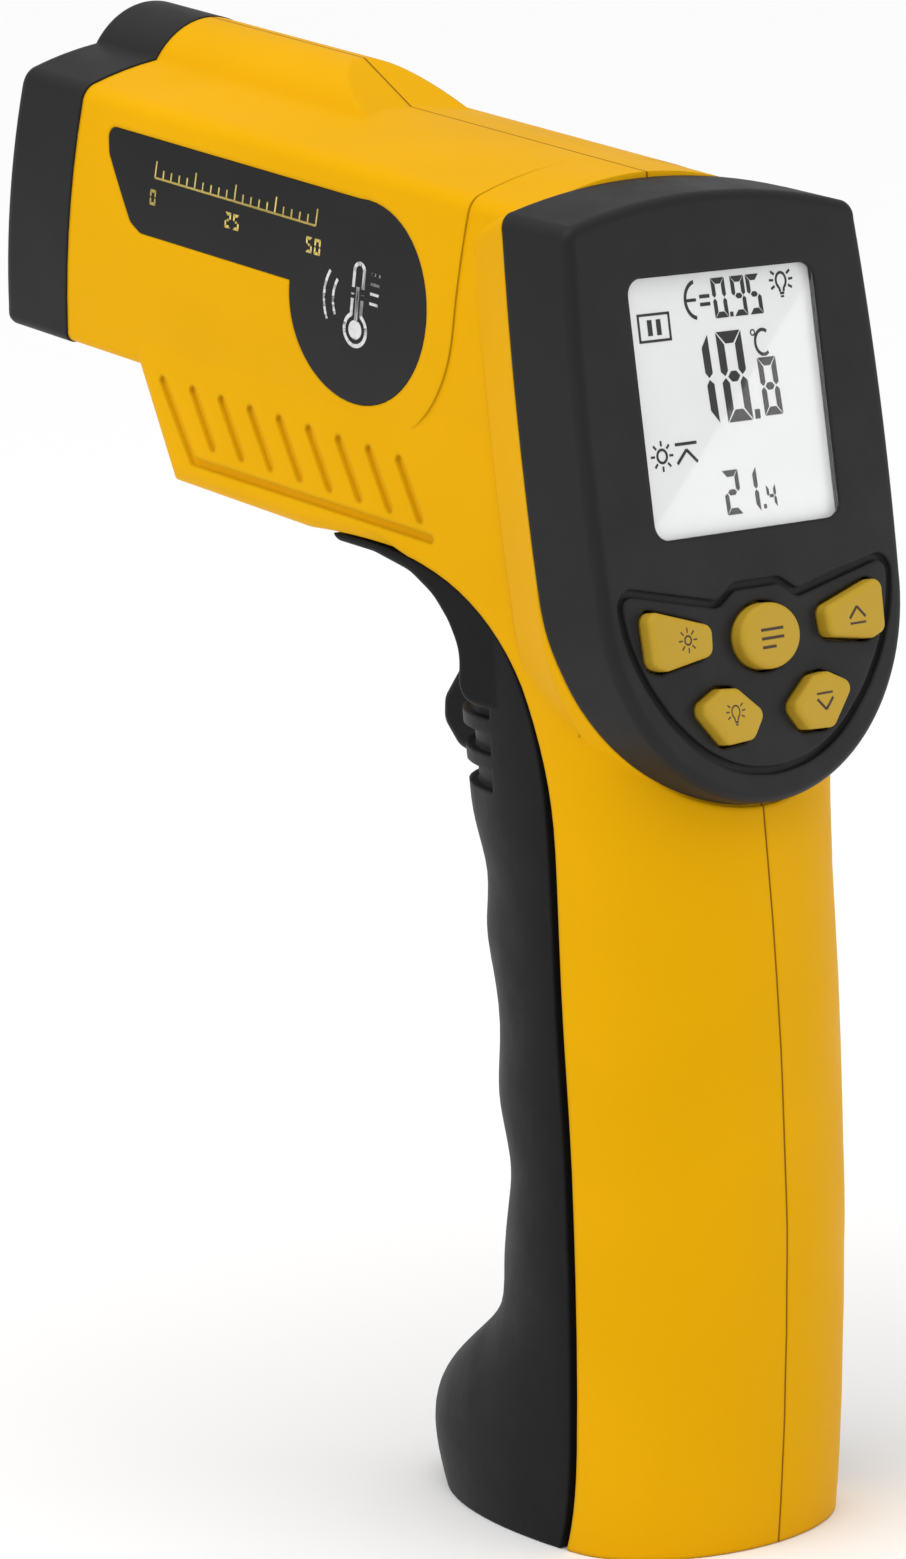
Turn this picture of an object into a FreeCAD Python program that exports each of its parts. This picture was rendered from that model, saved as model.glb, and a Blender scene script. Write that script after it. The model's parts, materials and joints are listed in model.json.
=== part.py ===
import FreeCAD, Part
import math
import os

# Infrared thermometer of the pistol kind, in millimetres.
# The barrel points to -X, the display faces +X, the width lies along Y, and the grip stands on z = 0.
# The origin is the centre of the handle's flat base.

V = FreeCAD.Vector
os.makedirs("parts", exist_ok=True)

# ---------------------------------------------------------------- driving dimensions
DISPLAY_X, DISPLAY_Z = 22.0, 134.0   # centre of the display window
BARREL_RISE = 9.0                    # the barrel points this much above level, degrees
DISPLAY_LEAN = 8.0                   # the display leans back this much, degrees
WALL = 2.0                           # moulded wall thickness
FIT = 0.12                           # gap between moulded covers that don't move
CLEAR = 0.35                         # gap round pieces that move
RUNNING = 0.05                       # radial clearance of a pin in its hole

BARREL_FRONT = -95.9                 # barrel shell's front edge, along the barrel
NOSE_FRONT = -108.6                  # front of the nose cap, along the barrel
NOSE_PROUD = 0.15                    # the nose cap stands this much outside the barrel shell
BARREL_HALF = 20.6                   # half width of the barrel
BARREL_LOW, BARREL_EAVE, BARREL_CREST = -12.2, 19.4, 23.0
LABEL_ROUND = (-42.5, 4.0, 12.1)     # centre p, q and radius of the side label's round end
PAD_REAR = -26.0                     # where the proud barrel side ends
DOME_RADIUS, DOME_CENTRE = 9.7, 17.6  # hump over the barrel's front half
NECK_HALF = 19.9                     # half width of the neck and the ribbed block
HANDLE_AXIS = 12.0                   # where the handle is widest, along X
BEZEL_HALF, BEZEL_DEPTH = 24.2, 10.0
BEZEL_ROUND_V = 22.0                 # below this the bezel's outline is a half circle
WINDOW_HALF_Y, WINDOW_HALF_V = 14.9, 14.8
LENS_Q = 4.5                         # height of the optical axis in the barrel
LENS_TUBE_RADIUS = 8.8
LASER_Q = 20.0                       # height of the laser in the hump
HINGE_X, HINGE_Z = -19.0, 7.6       # pin of the battery door, in the toe of the grip
TOE_SWEEP = 9.9                      # the toe stays inside this radius as the door swings
PIN_RADIUS = 1.5
TRIGGER_HALF = 6.7
BATTERY = (26.5, 17.5, 48.5)         # block battery along X, Y and Z
KEY_PROUD, KEY_TRAVEL = 1.7, 0.8
SCREW_RADIUS, SCREW_HEAD_RADIUS = 1.2, 2.3


# ---------------------------------------------------------------- frames and small helpers
def frame_matrix(right, up, out, origin):
    """Matrix that takes local X, Y and Z to the three given directions."""
    m = FreeCAD.Matrix()
    m.A11, m.A21, m.A31 = right
    m.A12, m.A22, m.A32 = up
    m.A13, m.A23, m.A33 = out
    m.A14, m.A24, m.A34 = origin
    return m


def tilted_frame(angle, out_sign):
    """Local X is the row's Y, local Y leans by the angle, local Z completes the frame."""
    c, s = math.cos(math.radians(angle)), math.sin(math.radians(angle))
    origin = (DISPLAY_X, 0.0, DISPLAY_Z)
    return frame_matrix((0, 1, 0), (out_sign * s, 0, c), (c, 0, -out_sign * s), origin)


BARREL = tilted_frame(BARREL_RISE, 1)      # local (y, q, p): p runs back along the barrel
DISPLAY = tilted_frame(DISPLAY_LEAN, -1)   # local (y, up, out): out is the display's normal


def moved(shape, matrix):
    copy = shape.copy()
    copy.transformShape(matrix, True)
    return copy


def barrel_point(p, q, y=0.0):
    return BARREL.multVec(V(y, q, p))


def display_point(v, depth, y=0.0):
    """v runs down the display from its centre, depth runs in behind its front face."""
    return DISPLAY.multVec(V(y, -v, -depth))


def fused(shapes):
    result = shapes[0]
    for shape in shapes[1:]:
        result = result.fuse(shape)
    return result.removeSplitter()


def cut(shape, *tools):
    for tool in tools:
        shape = shape.cut(tool)
    return shape


def box(x0, x1, y0, y1, z0, z1):
    return Part.makeBox(x1 - x0, y1 - y0, z1 - z0, V(x0, y0, z0))


def centred_box(centre, size):
    cx, cy, cz = centre
    sx, sy, sz = size
    return box(cx - sx / 2, cx + sx / 2, cy - sy / 2, cy + sy / 2, cz - sz / 2, cz + sz / 2)


def rod(start, end, radius):
    direction = end - start
    return Part.makeCylinder(radius, direction.Length, start, direction)


def tube(start, end, outer, inner):
    return rod(start, end, outer).cut(rod(start, end, inner))


def face_of(edges):
    return Part.Face(Part.Wire(Part.__sortEdges__(edges)))


def polygon_face(points):
    return Part.Face(Part.makePolygon(points + [points[0]]))


def rounded_face(points, radius):
    """Flat face through the corner points, each corner an arc of the radius where its sides allow."""
    count = len(points)
    radii = radius if isinstance(radius, list) else [radius] * count
    entries, exits = [], []
    for i, corner in enumerate(points):
        back = (points[i - 1] - corner)
        ahead = (points[(i + 1) % count] - corner)
        angle = back.getAngle(ahead)
        reach = radii[i] / math.tan(angle / 2)
        reach = min(reach, 0.45 * back.Length, 0.45 * ahead.Length)
        entries.append(corner + back.normalize() * reach)
        exits.append(corner + ahead.normalize() * reach)
    edges = []
    for i, corner in enumerate(points):
        chord_middle = (entries[i] + exits[i]) / 2
        half_chord = (exits[i] - entries[i]).Length / 2
        reach = (corner - entries[i]).Length
        # The arc's middle lies between the chord and the corner, on the line that joins them.
        sine = half_chord / reach
        cosine = math.sqrt(max(0.0, 1 - sine * sine))
        arc_radius = half_chord / max(cosine, 1e-6)
        sag = arc_radius - math.sqrt(max(0.0, arc_radius ** 2 - half_chord ** 2))
        middle = chord_middle + (corner - chord_middle).normalize() * sag
        edges.append(Part.Arc(entries[i], middle, exits[i]).toShape())
        edges.append(Part.LineSegment(exits[i], entries[(i + 1) % count]).toShape())
    return Part.Face(Part.Wire(edges))


def on_display(face, front, back):
    """Prism of a local XY face between two depths behind the display's front face."""
    prism = face.extrude(V(0, 0, back - front))
    prism.translate(V(0, 0, -back))
    return moved(prism, DISPLAY)


def display_box(y0, y1, v0, v1, front, back):
    return on_display(polygon_face([V(y0, -v0, 0), V(y1, -v0, 0), V(y1, -v1, 0), V(y0, -v1, 0)]),
                      front, back)


def display_rod(y, v, front, back, radius):
    return rod(display_point(v, front, y), display_point(v, back, y), radius)


def along_barrel(face, start, end):
    """Prism of a local XY section between two stations along the barrel."""
    prism = face.extrude(V(0, 0, end - start))
    prism.translate(V(0, 0, start))
    return moved(prism, BARREL)


def barrel_side(face_points, y0, y1, radius=0.0):
    """Prism across the width of an outline given as (p, q) points."""
    points = [V(0, q, p) for p, q in face_points]
    face = rounded_face(points, radius) if radius else polygon_face(points)
    prism = face.extrude(V(y1 - y0, 0, 0))
    prism.translate(V(y0, 0, 0))
    return moved(prism, BARREL)


def side_prism(points, y0, y1, radius=0.0):
    """Prism across the width of an outline given as row (x, z) points."""
    corners = [V(x, y0, z) for x, z in points]
    face = rounded_face(corners, radius) if radius else polygon_face(corners)
    return face.extrude(V(0, y1 - y0, 0))


def half(shape, side):
    """The part of a shape on one side of the middle plane: side is -1 or +1."""
    reach = 200.0
    low, high = (0.0, reach) if side > 0 else (-reach, 0.0)
    return shape.common(box(-reach, reach, low, high, -reach, 2 * reach))


def export(name, shape):
    solids = shape.Solids
    shape = solids[0] if len(solids) == 1 else Part.makeCompound(solids)
    if not shape.isValid() or not solids:
        print("NOT VALID:", name)
    shape.exportStep("parts/" + name + ".step")
    print(f"{name:22s} solids {len(solids)}  volume {shape.Volume:10.1f}")


# ---------------------------------------------------------------- outer form
def barrel_section(inset, half_width):
    """Barrel cross-section: bowed sides, small eave rounds and a low arched roof."""
    w = half_width - inset
    low, eave, crest = BARREL_LOW + inset, BARREL_EAVE - inset, BARREL_CREST - inset
    corner, bow = 1.5, 0.9
    top_left, top_right = V(-w + bow, eave - corner, 0), V(w - bow, eave - corner, 0)
    roof_left, roof_right = V(-w + bow + corner, eave + 0.45, 0), V(w - bow - corner, eave + 0.45, 0)
    bottom_left, bottom_right = V(-w + bow + corner, low, 0), V(w - bow - corner, low, 0)
    foot_left, foot_right = V(-w + bow, low + corner, 0), V(w - bow, low + corner, 0)
    tuck = 0.42
    return face_of([
        Part.Arc(roof_left, V(0, crest, 0), roof_right).toShape(),
        Part.Arc(roof_right, V(w - bow - tuck, eave - tuck, 0), top_right).toShape(),
        Part.Arc(top_right, V(w, (low + eave) / 2, 0), foot_right).toShape(),
        Part.Arc(foot_right, V(w - bow - tuck, low + tuck, 0), bottom_right).toShape(),
        Part.LineSegment(bottom_right, bottom_left).toShape(),
        Part.Arc(bottom_left, V(-w + bow + tuck, low + tuck, 0), foot_left).toShape(),
        Part.Arc(foot_left, V(-w, (low + eave) / 2, 0), top_left).toShape(),
        Part.Arc(top_left, V(-w + bow + tuck, eave - tuck, 0), roof_left).toShape()])


def dome(inset, start):
    """Hump along the barrel's top, ending behind in a slanted facet."""
    radius = DOME_RADIUS - inset
    round_bar = Part.makeCylinder(radius, -44.0 - start, V(0, DOME_CENTRE, start))
    facet = [(start - 1, DOME_CENTRE), (start - 1, 40.0), (-67.5 - inset, 40.0),
             (-67.5 - inset, 27.4 - inset), (-57.0 - inset, 22.4 - inset), (-44.0, 20.6 - inset),
             (-44.0, DOME_CENTRE)]
    return moved(round_bar, BARREL).common(barrel_side(facet, -DOME_RADIUS - 1, DOME_RADIUS + 1))


def barrel_body(inset):
    """Proud front length of the barrel, its narrower rear length, and the hump."""
    front = along_barrel(barrel_section(inset, BARREL_HALF), BARREL_FRONT, PAD_REAR)
    p0, q0, _ = LABEL_ROUND
    # The pad's rear end runs concentric with the label's round end, then straight up.
    radius = PAD_REAR - inset - p0
    reach = 30.0
    ahead = barrel_side([(BARREL_FRONT - 1, -40.0), (BARREL_FRONT - 1, 60.0), (p0, 60.0), (p0, -40.0)],
                        -reach, reach)
    above = barrel_side([(p0 - 1, q0), (p0 - 1, 60.0), (p0 + radius, 60.0), (p0 + radius, q0)],
                        -reach, reach)
    disc = moved(Part.makeCylinder(radius, 2 * reach, V(-reach, q0, p0), V(1, 0, 0)), BARREL)
    rear = along_barrel(barrel_section(inset, NECK_HALF + 0.45), PAD_REAR - 30.0, -4.0)
    return [front.common(fused([ahead, above, disc])), rear, dome(inset, BARREL_FRONT)]


# Rear edge of the black grip where it meets the yellow shells, as row (x, z), from the tip down.
GRIP_EDGE = [(-31.0, 117.3), (-22.0, 117.0), (-12.5, 115.4), (-3.7, 112.0), (4.2, 105.4), (9.0, 97.0),
             (11.6, 88.0), (12.3, 76.0), (12.9, 62.0), (13.7, 46.0), (13.8, 30.0), (13.2, 14.0),
             (12.2, 5.5), (10.4, 0.0)]


def grip_edge_curve(setback, top_gap, y):
    """The grip's edge as a smooth curve: the setback holds below the notch, the top gap above it."""
    points = []
    for x, z in GRIP_EDGE:
        fade = min(1.0, max(0.0, (100.0 - z) / 10.0))
        shift = setback * fade + top_gap * (1.0 - fade)
        points.append(V(x - shift, y, z - top_gap * (1.0 - fade)))
    curve = Part.BSplineCurve()
    curve.interpolate(points)
    return curve.toShape()


def grip_region(setback, top_gap=0.0):
    """Everything in front of the grip's edge, as a thick plate across the width."""
    reach, y = 80.0, -40.0
    curve = grip_edge_curve(setback, top_gap, y)
    top, bottom = curve.Vertexes[0].Point, curve.Vertexes[-1].Point
    corners = [bottom, V(bottom.x, y, -10), V(-reach, y, -10), V(-reach, y, top.z), top]
    edges = [curve] + [Part.LineSegment(a, b).toShape() for a, b in zip(corners, corners[1:])]
    return face_of(edges).extrude(V(0, -2 * y, 0))


# Handle sections: height, rear X, front X, half width, rear and front squareness.
HANDLE_SECTIONS = [
    (0.0, 26.1, -26.0, 19.3, 2.0, 2.0),
    (5.0, 26.6, -27.6, 19.7, 2.0, 2.0),
    (10.0, 27.0, -27.5, 19.9, 2.0, 2.0),
    (15.0, 27.4, -24.4, 20.0, 2.0, 2.0),
    (19.5, 27.6, -19.0, 20.1, 2.0, 2.0),
    (24.5, 27.9, -13.2, 20.2, 2.0, 2.0),
    (31.0, 28.1, -11.5, 20.3, 2.0, 2.0),
    (37.5, 28.3, -10.2, 20.4, 2.0, 2.0),
    (43.5, 28.2, -9.3, 20.4, 2.0, 2.0),
    (51.0, 28.0, -11.6, 20.4, 2.0, 2.0),
    (58.0, 27.8, -11.2, 20.4, 2.0, 2.0),
    (65.0, 27.4, -12.0, 20.4, 2.0, 2.0),
    (71.0, 27.0, -13.7, 20.3, 2.0, 2.0),
    (78.0, 26.4, -13.4, 20.3, 2.0, 2.0),
    (84.0, 25.8, -15.2, 20.3, 2.05, 2.1),
    (90.0, 25.2, -15.8, 20.2, 2.2, 2.2),
    (97.0, 24.2, -15.6, 20.1, 2.8, 2.4),
    (104.0, 23.0, -14.6, 20.0, 3.6, 2.6),
    (112.0, 21.5, -14.0, 19.9, 5.0, 3.0)]


def power(value, exponent):
    return math.copysign(abs(value) ** exponent, value)


HANDLE_POLES = 24                    # control points round the handle
# A cubic ring of control points runs this much inside them.
RING_SHRINK = (2 + math.cos(2 * math.pi / HANDLE_POLES)) / 3


def handle_column(index, inset):
    """One control line up the handle: a smooth curve through its point on each section."""
    angle = 2 * math.pi * index / HANDLE_POLES
    c, s = math.cos(angle), math.sin(angle)
    points = []
    for z, rear, front, half_width, rear_square, front_square in HANDLE_SECTIONS:
        square = rear_square if c > 0 else front_square
        reach = (rear if c > 0 else -front + 2 * HANDLE_AXIS) - HANDLE_AXIS
        points.append(V(HANDLE_AXIS + (reach - inset) * power(c, 2 / square) / RING_SHRINK,
                        (half_width - inset) * power(s, 2 / square) / RING_SHRINK, z))
    curve = Part.BSplineCurve()
    curve.interpolate(points, Parameters=[level[0] for level in HANDLE_SECTIONS])
    return curve


def handle_body(inset, base_inset=0.0):
    """Handle as one smooth closed surface between flat ends, cut above the base for the inner form."""
    columns = [handle_column(i, inset) for i in range(HANDLE_POLES)]
    surface = Part.BSplineSurface()
    surface.buildFromPolesMultsKnots(
        [column.getPoles() for column in columns], [1] * (HANDLE_POLES + 1),
        columns[0].getMultiplicities(), [float(i) for i in range(HANDLE_POLES + 1)],
        columns[0].getKnots(), True, False, 3, 3)
    side = surface.toShape()
    ends = [Part.Face(Part.Wire([e])) for e in side.Edges if e.BoundBox.ZLength < 0.01]
    shell = Part.makeShell([side] + ends)
    shell.sewShape()
    body = Part.makeSolid(shell)
    if base_inset:
        return body.common(box(-60, 60, -40, 40, base_inset, 200))
    return body


def neck_outline(inset):
    """Side outline of the ribbed block and the neck, in row (x, z)."""
    a = barrel_point(-84.2, -10.0)
    b = barrel_point(-74.5, -25.0)
    c = barrel_point(-49.0, -25.0)
    d = barrel_point(-38.0, 14.0)
    edge = [V(x, 0, z) for x, z in GRIP_EDGE[2:6]]
    points = [a, b, c] + edge + [V(16.0, 0, 97.0), V(10.0, 0, 150.0), d]
    face = polygon_face([V(p.x, 0, p.z) for p in points])
    return face.makeOffset2D(-inset, 2) if inset else face


def neck_body(inset):
    half_width = NECK_HALF - inset
    face = neck_outline(inset)
    face.translate(V(0, -half_width, 0))
    prism = face.extrude(V(0, 2 * half_width, 0))
    if inset:
        return prism
    low_edges = [e for e in prism.Edges
                 if abs(abs(e.CenterOfMass.y) - half_width) < 0.01 and e.CenterOfMass.x < -30.0
                 and e.CenterOfMass.z < 138.0 and e.Length > 12.0]
    return prism.makeFillet(2.2, low_edges)


def display_outline(grow, rise):
    """Shield outline of the bezel: arched top, near-straight sides and a half-circle below."""
    w = BEZEL_HALF + grow
    top, corner = 23.8 + rise, 21.0 + rise
    low = BEZEL_ROUND_V
    return face_of([
        Part.Arc(V(-w + 2.9, corner + 0.3, 0), V(0, top, 0), V(w - 2.9, corner + 0.3, 0)).toShape(),
        Part.Arc(V(w - 2.9, corner + 0.3, 0), V(w - 1.45, corner - 0.45, 0),
                 V(w - 0.95, corner - 2.1, 0)).toShape(),
        Part.Arc(V(w - 0.95, corner - 2.1, 0), V(w, 3.0, 0), V(w - 0.1, -low, 0)).toShape(),
        Part.Arc(V(w - 0.1, -low, 0), V(0, -low - w + 0.1, 0), V(-w + 0.1, -low, 0)).toShape(),
        Part.Arc(V(-w + 0.1, -low, 0), V(-w, 3.0, 0), V(-w + 0.95, corner - 2.1, 0)).toShape(),
        Part.Arc(V(-w + 0.95, corner - 2.1, 0), V(-w + 1.45, corner - 0.45, 0),
                 V(-w + 2.9, corner + 0.3, 0)).toShape()])


def display_loft(front_outline, front_depth, back_outline, back_depth):
    wires = []
    for outline, depth in ((front_outline, front_depth), (back_outline, back_depth)):
        wire = outline.OuterWire.copy()
        wire.translate(V(0, 0, -depth))
        wires.append(wire)
    return moved(Part.makeLoft(wires, True, True), DISPLAY)


REAR_RISE = 2.7                      # the bezel's hood is this much higher at its back


def collar(inset):
    """Yellow flare that carries the bezel."""
    return display_loft(display_outline(0.35 - inset, REAR_RISE - inset), BEZEL_DEPTH,
                        display_outline(-3.4 - inset, REAR_RISE - 1.0 - inset), BEZEL_DEPTH + 9.0)


def bezel_form(grow, front_depth):
    """Outer form of the bezel, grown for the shells' seat."""
    return display_loft(display_outline(grow, grow), front_depth,
                        display_outline(0.35 + grow, REAR_RISE + grow), BEZEL_DEPTH)


def bezel_hollow():
    return display_loft(display_outline(-BEZEL_WALL, -BEZEL_WALL), BEZEL_WALL,
                        display_outline(0.35 - BEZEL_WALL, REAR_RISE - BEZEL_WALL),
                        BEZEL_DEPTH + 0.01)


def bezel_wall():
    return bezel_form(0.0, 0.0).cut(bezel_hollow())


# Where the bezel's side meets the shells along its lower arc: distance down and depth.
RIM_CURVE = [(BEZEL_ROUND_V - 3.0, 10.1), (25.0, 9.5), (28.0, 8.9), (31.5, 8.3), (35.0, 7.6), (38.0, 6.9),
             (41.0, 6.0), (44.0, 4.7), (47.0, 3.0), (50.0, 1.4)]


def behind_rim(gap):
    """Everything behind the rim curve, as a thick plate across the width."""
    reach = 40.0
    points = [V(-reach, -v, gap - depth) for v, depth in RIM_CURVE]
    curve = Part.BSplineCurve()
    curve.interpolate(points)
    start, end = points[0], points[-1]
    corners = [end, V(-reach, end.y, -BEZEL_DEPTH - 5.0), V(-reach, start.y, -BEZEL_DEPTH - 5.0), start]
    edges = [curve.toShape()] + [Part.LineSegment(a, b).toShape() for a, b in zip(corners, corners[1:])]
    return moved(face_of(edges).extrude(V(2 * reach, 0, 0)), DISPLAY)


def shell_form():
    """Both shells as one hollow body, before they part along the middle."""
    rim = behind_rim(0.0)
    outer = fused(barrel_body(0.0) + [neck_body(0.0), handle_body(0.0), collar(0.0)])
    inner = barrel_body(WALL) + [neck_body(WALL), handle_body(WALL, WALL), collar(WALL)]
    open_front = barrel_side([(BARREL_FRONT - 5, BARREL_LOW + WALL), (BARREL_FRONT - 5, 17.0),
                              (BARREL_FRONT + 5, 17.0), (BARREL_FRONT + 5, BARREL_LOW + WALL)],
                             -BARREL_HALF + 2.8, BARREL_HALF - 2.8)
    head_side = display_box(-40, 40, -60, BEZEL_ROUND_V, -40, BEZEL_DEPTH + FIT)
    bezel_seat = display_loft(display_outline(0.35 + FIT, REAR_RISE + FIT), -20.0,
                              display_outline(0.35 + FIT, REAR_RISE + FIT), BEZEL_DEPTH + FIT)
    lip = bezel_wall().common(rim)
    foot = on_display(display_outline(0.35, REAR_RISE).cut(display_outline(0.35 - BEZEL_WALL, REAR_RISE)),
                      BEZEL_DEPTH, BEZEL_DEPTH + 0.5).common(rim)
    seat = bezel_seat.cut(rim)
    room = bezel_hollow().common(rim)
    form = cut(outer, *inner, open_front, head_side, seat, room)
    return fused([form, lip, foot]).cut(grip_region(0.0))


# ---------------------------------------------------------------- side label and grooves
def label_region(side, grow):
    """Prism of the label's outline through one side of the barrel."""
    p0, q0, radius = LABEL_ROUND
    radius += grow
    arm = barrel_side([(-90.5 - grow, 16.0 + grow), (-89.6 - grow, 12.6), (-84.4 - grow, 5.2),
                       (-82.4, 4.2 - grow), (p0, 4.2 - grow), (p0, 16.0 + grow)], 15.0, 30.0, 1.6)
    disc = Part.makeCylinder(radius, 15.0, V(15.0, q0, p0), V(1, 0, 0))
    region = arm.fuse(moved(disc, BARREL)).removeSplitter()
    return region if side > 0 else region.mirror(V(0, 0, 0), V(0, 1, 0))


def rounded_slot(start, end, radius, y0, y1):
    """Round-ended slot across a side wall, from one (p, q) point to another."""
    (p0, q0), (p1, q1) = start, end
    length = math.hypot(p1 - p0, q1 - q0)
    nx, ny = -(q1 - q0) / length * radius, (p1 - p0) / length * radius
    bar = barrel_side([(p0 + nx, q0 + ny), (p1 + nx, q1 + ny), (p1 - nx, q1 - ny),
                       (p0 - nx, q0 - ny)], y0, y1)
    ends = [moved(Part.makeCylinder(radius, y1 - y0, V(y0, q, p), V(1, 0, 0)), BARREL)
            for p, q in (start, end)]
    return fused([bar] + ends)


def side_grooves(side):
    """Eight short slanted grooves and one that turns along the block's lower edge."""
    depth, reach = 0.55, 3.0
    y0, y1 = NECK_HALF - depth, NECK_HALF + reach
    grooves = [rounded_slot((-71.4 + 5.35 * k, -12.9), (-67.0 + 5.35 * k, -19.0), 0.55, y0, y1)
               for k in range(8)]
    long_start, corner, long_end = (-77.1, -12.9), (-70.4, -21.5), (-27.5, -20.9)
    grooves.append(fused([rounded_slot(long_start, corner, 0.55, y0, y1),
                          rounded_slot(corner, long_end, 0.55, y0, y1)]))
    block = Part.makeCompound(grooves)
    return block if side > 0 else block.mirror(V(0, 0, 0), V(0, 1, 0))


# ---------------------------------------------------------------- screws that close the shells
SHELL_SCREWS = [barrel_point(-88.0, -7.6), barrel_point(-60.0, -19.0), barrel_point(-24.0, 15.5),
                V(17.5, 0, 13.0), V(17.5, 0, 80.0)]


BOSS_RADIUS = 2.9


def boss(point, side):
    """Post from the middle plane out past the shell's wall."""
    start = V(point.x, 0, point.z)
    return rod(start, V(point.x, side * NECK_HALF, point.z), BOSS_RADIUS)


def screw(point, head_y, tip_y, head_height=1.8):
    """Pan-head screw along Y with a cross recess."""
    centre = V(point.x, 0, point.z)
    shank = rod(centre + V(0, tip_y, 0), centre + V(0, head_y, 0), SCREW_RADIUS)
    head = rod(centre + V(0, head_y, 0), centre + V(0, head_y + head_height, 0), SCREW_HEAD_RADIUS)
    slot_a = centred_box((point.x, head_y + head_height, point.z), (2.6, 1.2, 0.6))
    slot_b = centred_box((point.x, head_y + head_height, point.z), (0.6, 1.2, 2.6))
    return cut(fused([shank, head]), slot_a, slot_b)


SCREW_SEAT_Y = 13.0                  # the screw heads bear on this plane in the right shell
SCREW_TIP_Y = -11.0
LABEL_DEPTH = 0.45


def shells():
    """Two mirrored halves, closed by screws from the right; a film label lies in each side."""
    solid_outer = fused(barrel_body(0.0) + [neck_body(0.0), handle_body(0.0)])
    left_half = half(shell_form(), -1)
    trigger_way = box(-24.0, 12.5, -TRIGGER_HALF - 1.0, TRIGGER_HALF + 1.0, 84.0, 110.8)
    for side, name in ((-1, "left"), (1, "right")):
        shell = left_half if side < 0 else left_half.mirror(V(0, 0, 0), V(0, 1, 0))
        for point in SHELL_SCREWS:
            shell = shell.fuse(half(boss(point, side).common(solid_outer), side))
        for point in SHELL_SCREWS:
            start = V(point.x, 0, point.z)
            if side > 0:
                shell = cut(shell, rod(start, start + V(0, 15.0, 0), SCREW_RADIUS + 0.3),
                            rod(start + V(0, SCREW_SEAT_Y, 0), start + V(0, 30.0, 0),
                                SCREW_HEAD_RADIUS + 0.2))
            else:
                shell = shell.cut(rod(start, start + V(0, SCREW_TIP_Y - 2.0, 0), SCREW_RADIUS))
        skin = solid_outer
        for shape in barrel_body(LABEL_DEPTH):
            skin = skin.cut(shape)
        recess = label_region(side, 0.0).common(skin)
        export(name + "_shell", cut(shell, recess, side_grooves(side), trigger_way))
        export(name + "_label", label_region(side, -0.08).common(skin))
    export("shell_screws",
           Part.makeCompound([screw(p, SCREW_SEAT_Y, SCREW_TIP_Y) for p in SHELL_SCREWS]))


# ---------------------------------------------------------------- nose and optics
def rounded_nose(radius):
    """Nose section drawn in towards its front face in steps that follow a quarter round."""
    wires, steps = [], 4
    for i in range(steps + 1):
        angle = math.pi / 2 * i / steps
        wire = barrel_section(radius * (1 - math.sin(angle)) - NOSE_PROUD, BARREL_HALF).OuterWire
        wire.translate(V(0, 0, NOSE_FRONT + radius * (1 - math.cos(angle))))
        wires.append(wire)
    end = barrel_section(-NOSE_PROUD, BARREL_HALF).OuterWire
    end.translate(V(0, 0, BARREL_FRONT - FIT))
    return moved(Part.makeLoft(wires + [end], True, True), BARREL)


def nose():
    """Black cap that closes the barrel, with the lens mouth and the laser's hole."""
    start, end = NOSE_FRONT, BARREL_FRONT - FIT
    hump = Part.makeCylinder(DOME_RADIUS + 0.1, end - start, V(0, DOME_CENTRE, start))
    front_ring = [e for e in hump.Edges if abs(e.CenterOfMass.z - start) < 0.01]
    hump = moved(hump.makeFillet(1.6, front_ring), BARREL)
    form = fused([rounded_nose(1.6), hump])
    spigot = along_barrel(barrel_section(WALL + 0.15, BARREL_HALF), end - 1.0, end + 5.0)
    spigot = spigot.common(barrel_side([(-110, -9.9), (-110, 16.8), (-80, 16.8), (-80, -9.9)],
                                       -BARREL_HALF + 3.0, BARREL_HALF - 3.0))
    hollow = along_barrel(barrel_section(2.0, BARREL_HALF), start + 3.0, end - 2.0)
    hollow_rear = barrel_side([(end - 1.0, -8.0), (end - 1.0, 15.0), (end + 8.0, 15.0),
                               (end + 8.0, -8.0)], -15.8, 15.8)
    mouth = moved(Part.makeCone(10.6, 9.2, 3.6, V(0, LENS_Q, start - 0.1), V(0, 0, 1)), BARREL)
    bore = rod(barrel_point(start, LENS_Q), barrel_point(end + 6, LENS_Q), LENS_TUBE_RADIUS + 0.1)
    laser_mouth = moved(Part.makeCone(3.9, 3.0, 1.6, V(0, LASER_Q, start - 0.1), V(0, 0, 1)), BARREL)
    laser_bore = rod(barrel_point(start, LASER_Q), barrel_point(end + 6, LASER_Q), 2.6)
    laser_room = rod(barrel_point(start + 3.2, LASER_Q), barrel_point(end + 6, LASER_Q), 5.6)
    shape = cut(fused([form.cut(hollow), spigot]), hollow_rear, mouth, bore, laser_mouth,
                laser_bore, laser_room)
    export("nose_cap", shape)


def on_axis_tube(start, end, outer, inner):
    return tube(barrel_point(start, LENS_Q), barrel_point(end, LENS_Q), outer, inner)


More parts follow.
